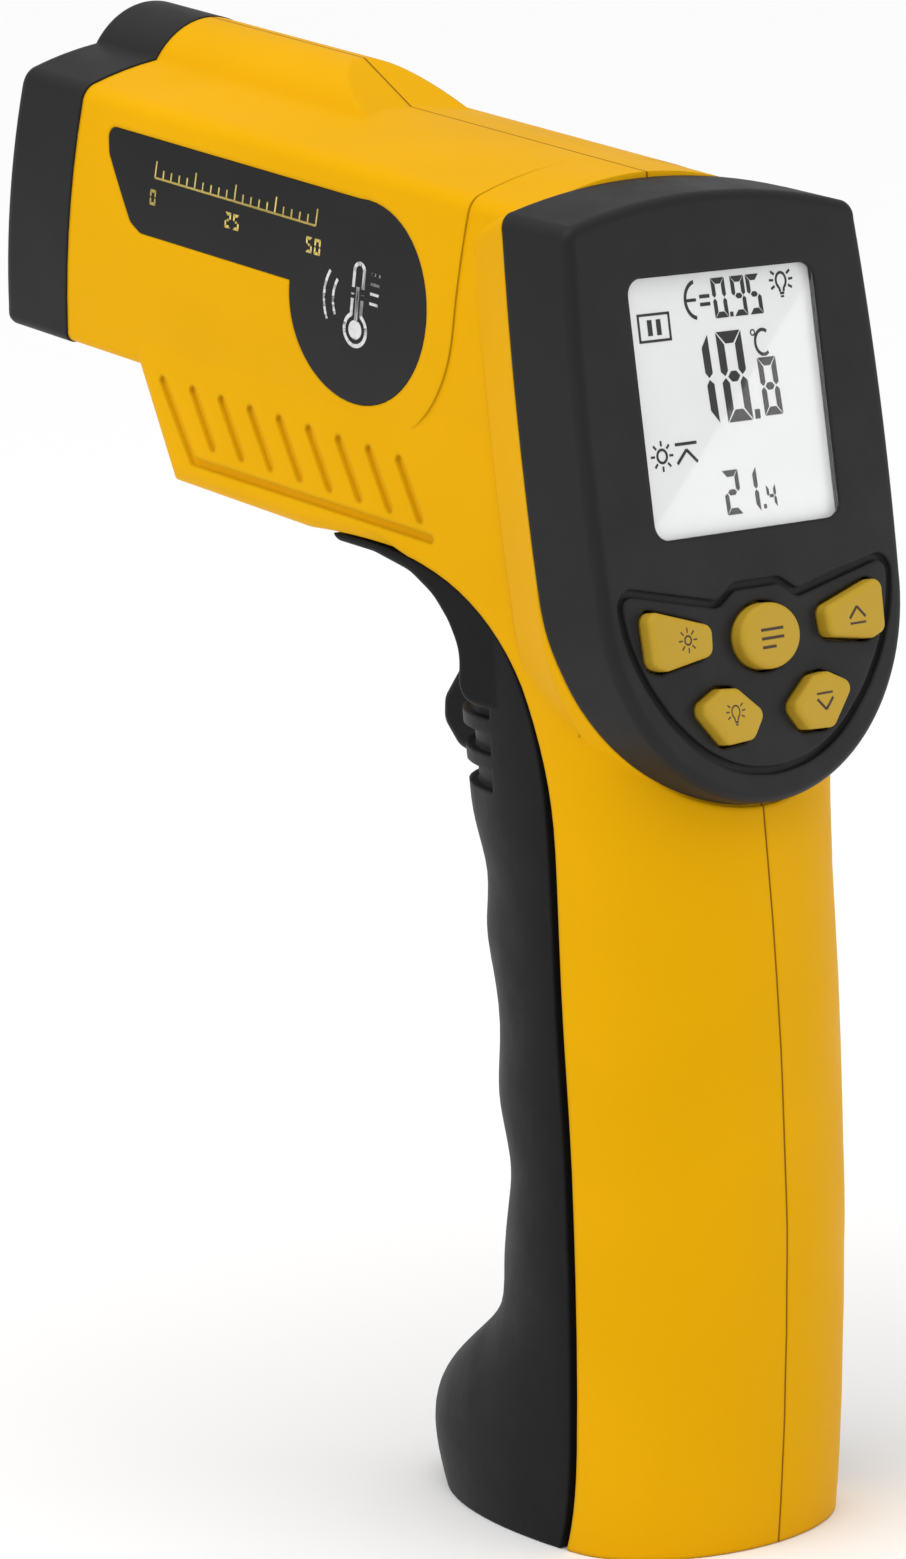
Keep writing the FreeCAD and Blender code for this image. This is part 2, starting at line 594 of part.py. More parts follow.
def optics():
    """Lens in its blackened tube, the sensor at the tube's end, and the laser above."""
    tube_front, tube_back = NOSE_FRONT + 4.0, -44.0
    bore, lens_radius, lens_back = LENS_TUBE_RADIUS - 1.2, LENS_TUBE_RADIUS - 1.3, -102.0
    baffles = [on_axis_tube(p, p + 0.8, bore + 0.1, r) for p, r in ((-86.0, 6.4), (-72.0, 5.8), (-58.0, 5.2))]
    step = on_axis_tube(lens_back, lens_back + 1.2, bore + 0.1, bore - 1.0)
    end_wall = on_axis_tube(tube_back - 2.0, tube_back, bore + 0.1, 4.7)
    export("lens_tube", fused([on_axis_tube(tube_front, tube_back, LENS_TUBE_RADIUS, bore),
                               step, end_wall] + baffles))

    ball = 34.0                      # radius of the lens's front face
    crown = Part.makeSphere(ball, barrel_point(-104.4 + ball, LENS_Q))
    blank = rod(barrel_point(-105.0, LENS_Q), barrel_point(lens_back, LENS_Q), lens_radius)
    export("infrared_lens", crown.common(blank))
    export("lens_ring", on_axis_tube(-104.6, -103.2, lens_radius, lens_radius - 0.9).cut(crown))

    sensor_can = rod(barrel_point(-50.0, LENS_Q), barrel_point(-45.2, LENS_Q), 4.1)
    flange = rod(barrel_point(-45.2, LENS_Q), barrel_point(-44.0, LENS_Q), 4.6)
    pins = [rod(barrel_point(-44.0, LENS_Q + 1.8 * math.sin(a), 1.8 * math.cos(a)),
                barrel_point(-40.0, LENS_Q + 1.8 * math.sin(a), 1.8 * math.cos(a)), 0.23)
            for a in (math.pi / 4 + k * math.pi / 2 for k in range(4))]
    export("thermopile_sensor", fused([sensor_can, flange] + pins))
    board = along_barrel(polygon_face([V(-11, LENS_Q - 11, 0), V(11, LENS_Q - 11, 0),
                                       V(11, LENS_Q + 11, 0), V(-11, LENS_Q + 11, 0)]), -44.0, -42.4)
    holes = [rod(barrel_point(-45.0, LENS_Q + 1.8 * math.sin(a), 1.8 * math.cos(a)),
                 barrel_point(-41.0, LENS_Q + 1.8 * math.sin(a), 1.8 * math.cos(a)), 0.23)
             for a in (math.pi / 4 + k * math.pi / 2 for k in range(4))]
    export("sensor_board", cut(board, *holes))

    module = rod(barrel_point(-100.0, LASER_Q), barrel_point(-86.0, LASER_Q), 3.2)
    module_bore = rod(barrel_point(-101.0, LASER_Q), barrel_point(-96.5, LASER_Q), 1.7)
    export("laser_module", module.cut(module_bore))
    export("laser_lens", rod(barrel_point(-99.6, LASER_Q), barrel_point(-98.2, LASER_Q), 1.7))
    holder_front, holder_back = -90.6, -86.5
    block = along_barrel(polygon_face([V(-4.9, 11.0, 0), V(4.9, 11.0, 0), V(4.9, LASER_Q, 0),
                                       V(-4.9, LASER_Q, 0)]), holder_front, holder_back)
    ring = rod(barrel_point(holder_front, LASER_Q), barrel_point(holder_back, LASER_Q), 4.9)
    holder = cut(fused([block, ring]),
                 rod(barrel_point(-95.0, LASER_Q), barrel_point(-80.0, LASER_Q), 3.2),
                 rod(barrel_point(-95.0, LENS_Q), barrel_point(-80.0, LENS_Q), LENS_TUBE_RADIUS))
    export("laser_holder", holder)
    export("laser_window", rod(barrel_point(NOSE_FRONT + 1.5, LASER_Q),
                               barrel_point(NOSE_FRONT + 2.5, LASER_Q), 2.6))


# ---------------------------------------------------------------- display head
KEYS = {
    "laser_key": [(-18.9, 22.1), (-9.1, 24.9), (-9.4, 28.3), (-16.6, 29.3), (-18.7, 28.6)],
    "up_key": [(18.9, 22.1), (9.1, 24.9), (9.4, 28.3), (16.6, 29.3), (18.7, 28.6)],
    "light_key": [(-12.6, 34.0), (-8.6, 32.2), (-6.2, 32.4), (-2.2, 35.6), (-4.4, 38.5), (-8.6, 38.7)],
    "down_key": [(12.6, 34.0), (8.6, 32.2), (6.2, 32.4), (2.2, 35.6), (4.4, 38.5), (8.6, 38.7)]}
KEY_CENTRES = {"laser_key": (-14.0, 26.2), "up_key": (14.0, 26.2), "light_key": (-7.3, 35.5),
               "down_key": (7.3, 35.5), "mode_key": (0.0, 27.1)}
KEY_ROUND = 1.2


def key_face(name, grow=0.0):
    """A key's outline, grown all round for its hole or its flange."""
    if name == "mode_key":
        ellipse = Part.Ellipse(V(0, -KEY_CENTRES[name][1], 0), 4.75 + grow, 3.8 + grow)
        return Part.Face(Part.Wire([ellipse.toShape()]))
    face = rounded_face([V(y, -v, 0) for y, v in KEYS[name]], KEY_ROUND)
    return face.makeOffset2D(grow) if grow else face


BEZEL_WALL = 1.9
WINDOW_FRONT, WINDOW_STEP, WINDOW_BACK = 0.05, 0.4, 0.75   # depths behind the bezel's front face
GLASS_FRONT, GLASS_BACK = 0.95, 3.4
BACKLIGHT_BACK = 6.4
BOARD_FRONT, BOARD_BACK = 8.2, 9.8
HEAD_SCREWS = [(-19.6, -15.5), (19.6, -15.5), (-19.6, 15.5), (19.6, 15.5), (0.0, 41.0)]
KEYPAD_OUTLINE = [(-22.0, 19.6), (-6.4, 22.8), (-3.6, 21.0), (3.6, 21.0), (6.4, 22.8), (22.0, 19.6),
                  (21.2, 25.6), (19.0, 30.5), (15.8, 35.0), (11.2, 39.2), (5.8, 41.8), (0.0, 42.6),
                  (-5.8, 41.8), (-11.2, 39.2), (-15.8, 35.0), (-19.0, 30.5), (-21.2, 25.6)]
KEYPAD_ROUNDS = [1.8 if v < 25.0 else 20.0 for _, v in KEYPAD_OUTLINE]


def window_outline(gap):
    w, h = WINDOW_HALF_Y - gap, WINDOW_HALF_V - gap
    return rounded_face([V(-w, h, 0), V(w, h, 0), V(w, -h, 0), V(-w, -h, 0)], 2.0 - gap)


def bezel():
    form = bezel_form(0.0, 0.0)
    origin, normal = display_point(0, 0), display_point(0, -1) - display_point(0, 0)
    front_edges = [e for e in form.Edges
                   if all(abs((v.Point - origin).dot(normal)) < 0.01 for v in e.Vertexes)]
    form = form.makeFillet(1.3, front_edges)
    hollow = bezel_hollow()
    opening = on_display(window_outline(0.0), -1.0, 3.0)
    pocket = display_box(-16.4, 16.4, -16.3, 16.3, WINDOW_STEP - 0.05, 3.0)
    key_holes = [on_display(key_face(name, CLEAR), -1.0, 3.0) for name in KEY_CENTRES]
    pad = rounded_face([V(y, -v, 0) for y, v in KEYPAD_OUTLINE], KEYPAD_ROUNDS)
    groove = on_display(pad.makeOffset2D(0.5).cut(pad.makeOffset2D(-0.5)), -1.0, 0.7)
    posts = [display_rod(y, v, BEZEL_WALL - 0.5, BOARD_FRONT, 2.2) for y, v in HEAD_SCREWS]
    pilot = [display_rod(y, v, 3.4, BOARD_FRONT + 1, 0.8) for y, v in HEAD_SCREWS]
    inner = [post.common(form) for post in posts]
    window_room = display_box(-17.2, 17.2, -17.2, 17.2, GLASS_FRONT - 0.05, BOARD_FRONT)
    shape = cut(fused([cut(form, hollow)] + inner), opening, pocket, groove, *key_holes, *pilot)
    export("display_bezel", cut(shape, window_room, bezel_wall().common(behind_rim(FIT))))


def keys():
    for name in KEY_CENTRES:
        body = on_display(key_face(name), -KEY_PROUD, 2.4)
        top = [e for e in body.Edges
               if all(abs((v.Point - display_point(0, -KEY_PROUD)).dot(
                   display_point(0, -1) - display_point(0, 0))) < 0.01 for v in e.Vertexes)]
        body = body.makeFillet(0.7, top)
        flange = on_display(key_face(name, 0.9), 2.4, 3.1)
        plunger = display_rod(*KEY_CENTRES[name], 3.1, 3.9, 1.5)
        export(name, fused([body, flange, plunger]))


def head_insides():
    plate = display_box(-16.2, 16.2, -16.1, 16.1, WINDOW_STEP, WINDOW_BACK)
    raised = on_display(window_outline(FIT), WINDOW_FRONT, WINDOW_STEP + 0.1)
    export("display_window", fused([plate, raised]))
    ring = display_box(-16.2, 16.2, -16.1, 16.1, WINDOW_BACK, GLASS_FRONT)
    export("window_gasket", ring.cut(display_box(-15.0, 15.0, -14.9, 14.9, 0.0, 3.0)))
    export("display_glass", display_box(-16.9, 16.9, -16.8, 16.8, GLASS_FRONT, GLASS_BACK))
    export("display_backlight", display_box(-16.7, 16.7, -16.5, 15.6, GLASS_BACK, BACKLIGHT_BACK))
    export("display_contact_strip", display_box(-15.5, 15.5, 15.8, 16.8, GLASS_BACK, BOARD_FRONT))
    export("display_support", display_box(-16.7, 16.7, -16.5, 15.6, BACKLIGHT_BACK, BOARD_FRONT)
           .cut(display_box(-13.0, 13.0, -13.0, 12.0, 6.0, 8.5)))

    board_face = display_outline(-2.7, -1.8)
    board = on_display(board_face, BOARD_FRONT, BOARD_BACK)
    holes = [display_rod(y, v, BOARD_FRONT - 1, BOARD_BACK + 1, 1.1) for y, v in HEAD_SCREWS]
    export("main_board", cut(board, *holes))
    chips = [display_box(-9, 3, -12, 0, BOARD_BACK, BOARD_BACK + 1.6),
             display_box(7, 12, -9, -3, BOARD_BACK, BOARD_BACK + 1.2),
             display_box(-16, -11, -12, -6, BOARD_BACK, BOARD_BACK + 2.0),
             display_rod(9, 8, BOARD_BACK, BOARD_BACK + 5.0, 2.5),
             display_box(2, 12, 14, 18, BOARD_BACK, BOARD_BACK + 3.0)]
    export("board_components", Part.makeCompound(chips))
    heads = [fused([display_rod(y, v, 3.6, BOARD_BACK, 0.8),
                    display_rod(y, v, BOARD_BACK, BOARD_BACK + 1.3, 1.9)])
             .cut(display_box(y - 1.3, y + 1.3, v - 0.25, v + 0.25, BOARD_BACK + 0.7, BOARD_BACK + 2))
             for y, v in HEAD_SCREWS]
    export("board_screws", Part.makeCompound(heads))

    mat_front = 3.9 + KEY_TRAVEL + 0.35
    mat_face = rounded_face([V(y * 0.9, -v, 0) for y, v in
                             ((-21, 21.8), (21, 21.8), (20.5, 28), (15, 35), (7, 38.4), (-7, 38.4),
                              (-15, 35), (-20.5, 28))], 2.0)
    switch_front = mat_front + 0.8
    export("keypad_mat", on_display(mat_face, mat_front, switch_front))
    switches = [fused([display_box(y - 2.2, y + 2.2, v - 2.2, v + 2.2, switch_front + 0.8, BOARD_FRONT),
                       display_rod(y, v, switch_front, switch_front + 1.0, 1.2)])
                for y, v in KEY_CENTRES.values()]
    export("key_switches", Part.makeCompound(switches))
    export("buzzer", cut(display_rod(-11, 8, BOARD_BACK, BOARD_BACK + 4.5, 5.5),
                         display_rod(-11, 8, BOARD_BACK + 3.5, BOARD_BACK + 6, 1.2)))


# ---------------------------------------------------------------- handle: frame, battery, door
DOOR_WALL = 2.2
DOOR_GAP = 1.2                       # dark gap that shows between the grip and the shells


def tail_prism():
    """Thin wing of the grip that runs forward under the ribbed block."""
    under = [(-26.5, 116.1), (-19.6, 115.2), (-13.3, 113.4), (-9.3, 110.9), (-6.8, 108.1), (-5.0, 104.8),
             (-5.4, 99.0)]
    points = [(-27.0, 118.5)] + under + [(9.0, 97.0), (9.0, 118.5)]
    prism = side_prism(points, -NECK_HALF + 0.6, NECK_HALF - 0.6, 8.0)
    edges = [e for e in prism.Edges
             if abs(abs(e.CenterOfMass.y) - NECK_HALF + 0.6) < 0.01
             and e.CenterOfMass.x < -4.0 and e.CenterOfMass.z < 117.0]
    return prism.makeFillet(0.9, edges)


def grip_recesses():
    """Shallow bands beside the trigger that leave raised ribs between them."""
    bands = [(88.6, 91.2), (92.9, 95.5), (97.2, 100.2), (101.9, 105.2)]
    depth = 1.2
    rind = handle_body(0.0).cut(handle_body(depth))
    return [rind.common(box(-40, 0.0, -30, 30, low, high)) for low, high in bands]


def hinge_rod(half_width, radius):
    return rod(V(HINGE_X, -half_width, HINGE_Z), V(HINGE_X, half_width, HINGE_Z), radius)


LUG_HALF = 4.5                       # half width of the frame's hinge lug
TOE_FLOOR_REAR = -13.5               # the door's own floor ends here


def door():
    """Black front of the grip: a thin curved cover that swings down on the pin in its toe."""
    outer = fused([handle_body(0.0), tail_prism()])
    inner = handle_body(DOOR_WALL).common(box(-60, 60, -40, 40, -1, 107.0))
    inner = inner.cut(box(-60, TOE_FLOOR_REAR, -40, 40, -2, DOOR_WALL))
    form = outer.cut(inner).common(grip_region(DOOR_GAP, CLEAR))
    ears = hinge_rod(20.0, 4.0).common(handle_body(1.0)).cut(hinge_rod(LUG_HALF + CLEAR, 6.0))
    slot = box(-40.0, 8.0, -TRIGGER_HALF - CLEAR, TRIGGER_HALF + CLEAR, 83.6, 106.4)
    shape = cut(fused([form, ears]), slot, hinge_rod(20.0, PIN_RADIUS).common(box(-60, 0, -9, 9, 0, 20)))
    export("battery_door", cut(shape, *grip_recesses()))
    export("door_hinge_pin", hinge_rod(9.0, PIN_RADIUS))


BAY_FLOOR = 21.0                     # the battery stands on this shelf
BATTERY_FRONT = -3.9
BAY_HALF, BAY_BACK = 9.2, 22.9       # inner half width and back of the battery bay
BAY_TOP = 72.0


def battery_frame():
    """Inner chassis: rails behind the door's edges, the battery's cradle and the hinge lug."""
    rind = handle_body(1.2).cut(handle_body(3.6))
    behind_door = grip_region(0.0).cut(grip_region(DOOR_GAP - CLEAR))
    rails = rind.common(behind_door).common(box(-10, 20, -30, 30, 0.0, 92.0))
    room = handle_body(DOOR_WALL + 0.6)
    cradle = box(-2.0, BAY_BACK + 1.1, -BAY_HALF - 1.2, BAY_HALF + 1.2, BAY_FLOOR, BAY_TOP)
    cradle = cradle.cut(box(-3.0, BAY_BACK, -BAY_HALF, BAY_HALF, BAY_FLOOR, BAY_TOP + 1))
    ribs = [box(8.0, 13.0, -18.5, 18.5, z, z + 1.4).cut(box(7.0, 15.0, -BAY_HALF, BAY_HALF, z - 1, z + 3))
            for z in (38.0, 56.0, BAY_TOP - 1.4)]
    shelf = box(-7.0, BAY_BACK + 1.1, -17.5, 17.5, BAY_FLOOR - 1.6, BAY_FLOOR)
    base = box(-14.0, 8.0, -17.5, 17.5, 0.0, 1.8).cut(hinge_rod(20.0, TOE_SWEEP)).common(
        handle_body(DOOR_WALL + 1.6))
    post = box(-2.4, -1.0, -12.0, 12.0, 0.0, BAY_FLOOR)
    arm = side_prism([(HINGE_X - 3.6, HINGE_Z + 2.0), (-13.5, BAY_FLOOR), (-5.0, BAY_FLOOR),
                      (-5.0, BAY_FLOOR - 1.6), (HINGE_X + 4.2, HINGE_Z)], -LUG_HALF, LUG_HALF)
    inside = fused([cradle, shelf, base, post] + ribs).common(room)
    form = fused([inside, arm, hinge_rod(LUG_HALF, 4.2), rails])
    export("battery_frame", form.cut(hinge_rod(20.0, PIN_RADIUS + RUNNING)))


def battery():
    depth, width, height = BATTERY
    case_height = 46.4
    case = box(BATTERY_FRONT, BATTERY_FRONT + depth, -width / 2, width / 2, BAY_FLOOR, BAY_FLOOR + case_height)
    upright = [e for e in case.Edges if abs(e.Length - case_height) < 0.01]
    case = case.makeFillet(1.8, upright)
    top, middle = BAY_FLOOR + case_height, BATTERY_FRONT + depth / 2
    contacts = [Part.makeCylinder(r, height - case_height, V(middle + dx, 0, top))
                for dx, r in ((-6.4, 2.9), (6.4, 3.8))]
    cell = fused([case] + contacts)
    export("battery", cell)
    cap = box(middle - 12.6, middle + 12.6, -6.0, 6.0, top + 0.1, top + 4.4)
    export("battery_snap", cap.cut(cell))
    pad = box(BATTERY_FRONT + depth, BAY_BACK, -7.0, 7.0, BAY_FLOOR + 6.0, BAY_FLOOR + 36.0)
    export("battery_pad", pad)
    export("battery_leads", Part.makeCompound([lead(side, middle - 2.0, top + 4.4) for side in (-1, 1)]))


def bent_tube(points, radius):
    """Round tube along straight runs joined by arcs that take 0.45 of the shorter run."""
    edges, last = [], points[0]
    for before, corner, after in zip(points, points[1:], points[2:]):
        back, ahead = before - corner, after - corner
        reach = 0.45 * min(back.Length, ahead.Length)
        turn = math.pi - back.getAngle(ahead)
        start, end = corner + back.normalize() * reach, corner + ahead.normalize() * reach
        arc_radius = reach / math.tan(turn / 2)
        inward = ((start + end) / 2 - corner).normalize()
        middle = corner + inward * (arc_radius / math.cos(turn / 2) - arc_radius)
        edges.append(Part.LineSegment(last, start).toShape())
        edges.append(Part.Arc(start, middle, end).toShape())
        last = end
    edges.append(Part.LineSegment(last, points[-1]).toShape())
    path = Part.Wire(edges)
    ring = Part.Wire([Part.makeCircle(radius, points[0], points[1] - points[0])])
    return path.makePipeShell([ring], True, True)


def lead(side, x, z):
    """One battery lead, from the snap up past the trigger's card to the main board."""
    end_v, y = 38.5, side * 8.8
    end, near = display_point(end_v, BOARD_BACK, y), display_point(end_v, BOARD_BACK + 4.0, y)
    start_y, turn_y = side * 2.2, side * 5.0
    return bent_tube([V(x, start_y, z), V(x, start_y, z + 5.0), V(x + 3.0, turn_y, z + 10.0),
                      V(near.x - 3.0, y, z + 16.0), near, end], 0.7)


def trigger():
    """Rounded trigger block that slides straight back between guides in the shells."""
    profile = [(-13.5, 104.6), (-18.6, 100.8), (-22.0, 96.4), (-22.2, 93.4), (-19.6, 90.4), (-14.0, 88.6),
               (6.5, 88.6), (6.5, 104.6)]
    block = side_prism(profile, -TRIGGER_HALF, TRIGGER_HALF, 2.6)
    edges = [e for e in block.Edges
             if abs(abs(e.CenterOfMass.y) - TRIGGER_HALF) < 0.01 and e.CenterOfMass.x < -10.0]
    block = block.makeFillet(1.5, edges)
    hollow = box(-8.0, 7.5, -TRIGGER_HALF + 1.8, TRIGGER_HALF - 1.8, 90.4, 102.8)
    seat = box(-8.0, -6.0, -3.0, 3.0, 93.6, 99.6)
    cross = box(0.0, 1.6, -TRIGGER_HALF + 1.8, TRIGGER_HALF - 1.8, 90.4, 102.8)
    export("trigger", fused([block.cut(hollow), seat, cross]))
    spring_coil()
    switch = box(10.4, 13.0, -3.1, 3.1, 99.4, 104.6)
    plunger = rod(V(9.7, 0, 101.8), V(10.4, 0, 101.8), 1.2)
    export("trigger_switch", fused([switch, plunger]))
    export("trigger_board", box(13.0, 14.2, -7.0, 7.0, 93.4, 106.0))


def spring_coil():
    """Return spring between the trigger's cross wall and the card behind it."""
    wire_radius, coil_radius, start, end, turns = 0.3, 2.2, 2.0, 12.6, 7
    pitch = (end - start) / turns
    helix = Part.makeHelix(pitch, end - start, coil_radius)
    ring = Part.Wire([Part.makeCircle(wire_radius, V(coil_radius, 0, 0), V(0, 1, pitch / 14.0))])
    coil = Part.Wire(helix).makePipeShell([ring], True, True)
    coil.rotate(V(0, 0, 0), V(0, 1, 0), 90)
    coil.translate(V(start, 0, 95.6))
    export("trigger_spring", coil)


shells()
nose()
optics()
bezel()
keys()
head_insides()
door()
battery_frame()
battery()
trigger()
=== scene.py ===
import json
import math

import bmesh
import bpy
from mathutils import Matrix, Vector


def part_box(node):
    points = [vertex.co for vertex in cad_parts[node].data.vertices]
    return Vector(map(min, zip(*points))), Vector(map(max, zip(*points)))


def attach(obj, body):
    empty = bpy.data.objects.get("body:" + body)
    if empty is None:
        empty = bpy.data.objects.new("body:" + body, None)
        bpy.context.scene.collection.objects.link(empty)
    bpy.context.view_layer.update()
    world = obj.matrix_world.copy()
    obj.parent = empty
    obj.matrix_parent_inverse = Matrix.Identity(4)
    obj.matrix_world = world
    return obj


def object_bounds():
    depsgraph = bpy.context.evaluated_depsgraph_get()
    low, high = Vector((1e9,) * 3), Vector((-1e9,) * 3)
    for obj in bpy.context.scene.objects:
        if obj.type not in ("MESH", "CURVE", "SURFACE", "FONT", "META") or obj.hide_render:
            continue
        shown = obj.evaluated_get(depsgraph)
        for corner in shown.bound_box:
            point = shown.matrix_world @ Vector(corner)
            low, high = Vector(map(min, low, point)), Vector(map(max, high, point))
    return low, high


# Looks of the infrared thermometer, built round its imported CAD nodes. Metres, in the CAD frame:
# the barrel points to -X, the display faces +X, the width lies along Y, and the grip stands on z = 0.
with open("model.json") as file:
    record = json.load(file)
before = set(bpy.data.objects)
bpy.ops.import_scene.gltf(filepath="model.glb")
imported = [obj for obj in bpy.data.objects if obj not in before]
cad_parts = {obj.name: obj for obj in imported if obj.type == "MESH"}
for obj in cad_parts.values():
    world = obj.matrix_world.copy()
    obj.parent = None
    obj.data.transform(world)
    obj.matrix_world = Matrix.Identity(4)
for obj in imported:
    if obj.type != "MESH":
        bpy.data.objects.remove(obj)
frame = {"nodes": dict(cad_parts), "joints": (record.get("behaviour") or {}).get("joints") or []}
cad_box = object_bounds()
nodes = frame["nodes"]
MM = 0.001


def middle(node):
    low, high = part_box(node)
    return (low + high) / 2


# ------------------------------------------------------------------ camera
# Fitted to the display's and the barrel's straight edges. The focal length is in pixels of
# an image LONG_SIDE_PIXELS high.
LONG_SIDE_PIXELS, SENSOR_MM, FOCAL_PIXELS = 1559, 36.0, 6000.0
CLIP_NEAR, CLIP_FAR = 0.01, 20.0
CAMERA_PLACE = Vector((0.5043, -0.4815, 0.2068))
CAMERA_RIGHT = Vector((0.67404, 0.7383, -0.02404))
CAMERA_UP = Vector((-0.10796, 0.1307, 0.98553))
CAMERA_BACK = Vector((0.73074, -0.6617, 0.16775))


def make_camera():
    data = bpy.data.cameras.new("camera")
    data.sensor_width = SENSOR_MM
    data.lens = FOCAL_PIXELS / LONG_SIDE_PIXELS * SENSOR_MM
    data.clip_start, data.clip_end = CLIP_NEAR, CLIP_FAR
    camera = bpy.data.objects.new("camera", data)
    bpy.context.scene.collection.objects.link(camera)
    turn = Matrix((CAMERA_RIGHT, CAMERA_UP, CAMERA_BACK)).transposed()
    camera.matrix_world = Matrix.Translation(CAMERA_PLACE) @ turn.to_4x4()
    bpy.context.scene.camera = camera


make_camera()


# ------------------------------------------------------------------ shader helpers
BEVEL_SAMPLES = 6
# Cosines between the flat and the rounded normal: an edge is fully worn below the first, not at all
# above the second.
WORN_COSINE, OPEN_COSINE = 0.90, 0.995
# Added to a lightened colour, so that a nearly black one changes too.
LIFT = 0.012


class Shader:
    """A material under construction: its node tree, its Principled shader and the node's own place."""

    def __init__(self, name):
        self.material = bpy.data.materials.new(name)
        self.material.use_nodes = True
        self.tree = self.material.node_tree
        self.surface = self.tree.nodes["Principled BSDF"]
        self.place = self.add("ShaderNodeTexCoord").outputs["Object"]

    def add(self, kind, **settings):
        node = self.tree.nodes.new(kind)
        for key, value in settings.items():
            setattr(node, key, value)
        return node

    def link(self, output, entry):
        self.tree.links.new(output, entry)

    def noise(self, scale, detail=3.0, rough=0.55, stretch=None):
        """Noise value over the object's own place; scale is in cycles per metre, and stretch
        multiplies it along X, Y and Z."""
        node = self.add("ShaderNodeTexNoise")
        node.inputs["Scale"].default_value = scale
        node.inputs["Detail"].default_value = detail
        node.inputs["Roughness"].default_value = rough
        if stretch:
            mapping = self.add("ShaderNodeMapping")
            mapping.inputs["Scale"].default_value = stretch
            self.link(self.place, mapping.inputs["Vector"])
            self.link(mapping.outputs["Vector"], node.inputs["Vector"])
        else:
            self.link(self.place, node.inputs["Vector"])
        return node.outputs["Fac"]

    def spread(self, value, low, high, start=0.3, end=0.7):
        """Value from start to end, mapped to low to high and held there outside."""
        node = self.add("ShaderNodeMapRange")
        for key, number in (("From Min", start), ("From Max", end), ("To Min", low), ("To Max", high)):
            node.inputs[key].default_value = number
        self.link(value, node.inputs["Value"])
        return node.outputs["Result"]

    def mix(self, factor, first, second):
        """Colour mix; first and second are colours or outputs."""
        node = self.add("ShaderNodeMix", data_type="RGBA")
        self.link(factor, node.inputs["Factor"])
        for entry, value in ((node.inputs[6], first), (node.inputs[7], second)):
            if isinstance(value, tuple):
                entry.default_value = (*value, 1.0)
            else:
                self.link(value, entry)
        return node.outputs[2]

    def maths(self, operation, first, second=None):
        """One sum on numbers or outputs."""
        node = self.add("ShaderNodeMath", operation=operation)
        for entry, value in zip(node.inputs, (first, second)):
            if isinstance(value, (int, float)):
                entry.default_value = value
            elif value is not None:
                self.link(value, entry)
        return node.outputs[0]

    def bump(self, height, strength, distance, normal=None):
        """Normal of a relief that is distance metres deep, laid over another normal if one is given."""
        node = self.add("ShaderNodeBump")
        node.inputs["Strength"].default_value = strength
        node.inputs["Distance"].default_value = distance
        self.link(height, node.inputs["Height"])
        if normal:
            self.link(normal, node.inputs["Normal"])
        return node.outputs["Normal"]

    def soft_edges(self, radius):
        """Normal of a surface whose edges are rounded to the radius."""
        node = self.add("ShaderNodeBevel", samples=BEVEL_SAMPLES)
        node.inputs["Radius"].default_value = radius
        return node.outputs["Normal"]

    def edge_mask(self, rounded):
        """1 on rounded-over edges and 0 on open surfaces."""
        flat = self.add("ShaderNodeNewGeometry").outputs["Normal"]
        node = self.add("ShaderNodeVectorMath", operation="DOT_PRODUCT")
        self.link(flat, node.inputs[0])
        self.link(rounded, node.inputs[1])
        return self.spread(node.outputs["Value"], 1.0, 0.0, WORN_COSINE, OPEN_COSINE)

    def set(self, **values):
        """Fixed values of the Principled shader, with _ for each space in an input's name."""
        for key, value in values.items():
            self.surface.inputs[key.replace("_", " ")].default_value = value


def lighter(colour, amount):
    """Colour made lighter by a share of itself, or darker where the amount is negative."""
    return tuple(min(1.0, c * (1 + amount) + LIFT * amount) for c in colour)


def moulded(name, colour, roughness, edge_radius, grain=1.0, wear=0.12, specular=0.25):
    """Injection-moulded plastic: spark-eroded grain, slow tone drift, satin and slightly worn edges."""
    s = Shader(name)
    drift = s.spread(s.noise(26.0, 2.0), 0.0, 1.0)
    base = s.mix(drift, lighter(colour, -0.045), lighter(colour, 0.035))
    rounded = s.soft_edges(edge_radius)
    rub = s.maths("MULTIPLY", s.edge_mask(rounded), s.spread(s.noise(420.0, 4.0), 0.15, 1.0))
    worn = s.mix(s.maths("MULTIPLY", rub, wear), base, lighter(colour, 1.6))
    s.link(worn, s.surface.inputs["Base Color"])
    gloss = s.spread(s.noise(150.0, 5.0), roughness - 0.05, roughness + 0.05)
    s.link(gloss, s.surface.inputs["Roughness"])
    fine = s.bump(s.noise(5200.0, 2.0, 0.6), 0.22 * grain, 0.00006, rounded)
    s.link(s.bump(s.noise(1500.0, 3.0, 0.6), 0.16 * grain, 0.00009, fine), s.surface.inputs["Normal"])
    s.set(Specular_IOR_Level=specular)
    return s


SEAM_CORE = 0.6


def seam(s, colour, half_width):
    """Fine dark parting line where the two halves meet at the middle plane: full to SEAM_CORE of its
    half width, then fading."""
    parts = s.add("ShaderNodeSeparateXYZ")
    s.link(s.place, parts.inputs["Vector"])
    off = s.maths("ABSOLUTE", parts.outputs["Y"])
    line = s.spread(off, 1.0, 0.0, half_width * SEAM_CORE, half_width)
    entry = s.surface.inputs["Base Color"]
    s.link(s.mix(line, entry.links[0].from_socket, colour), entry)


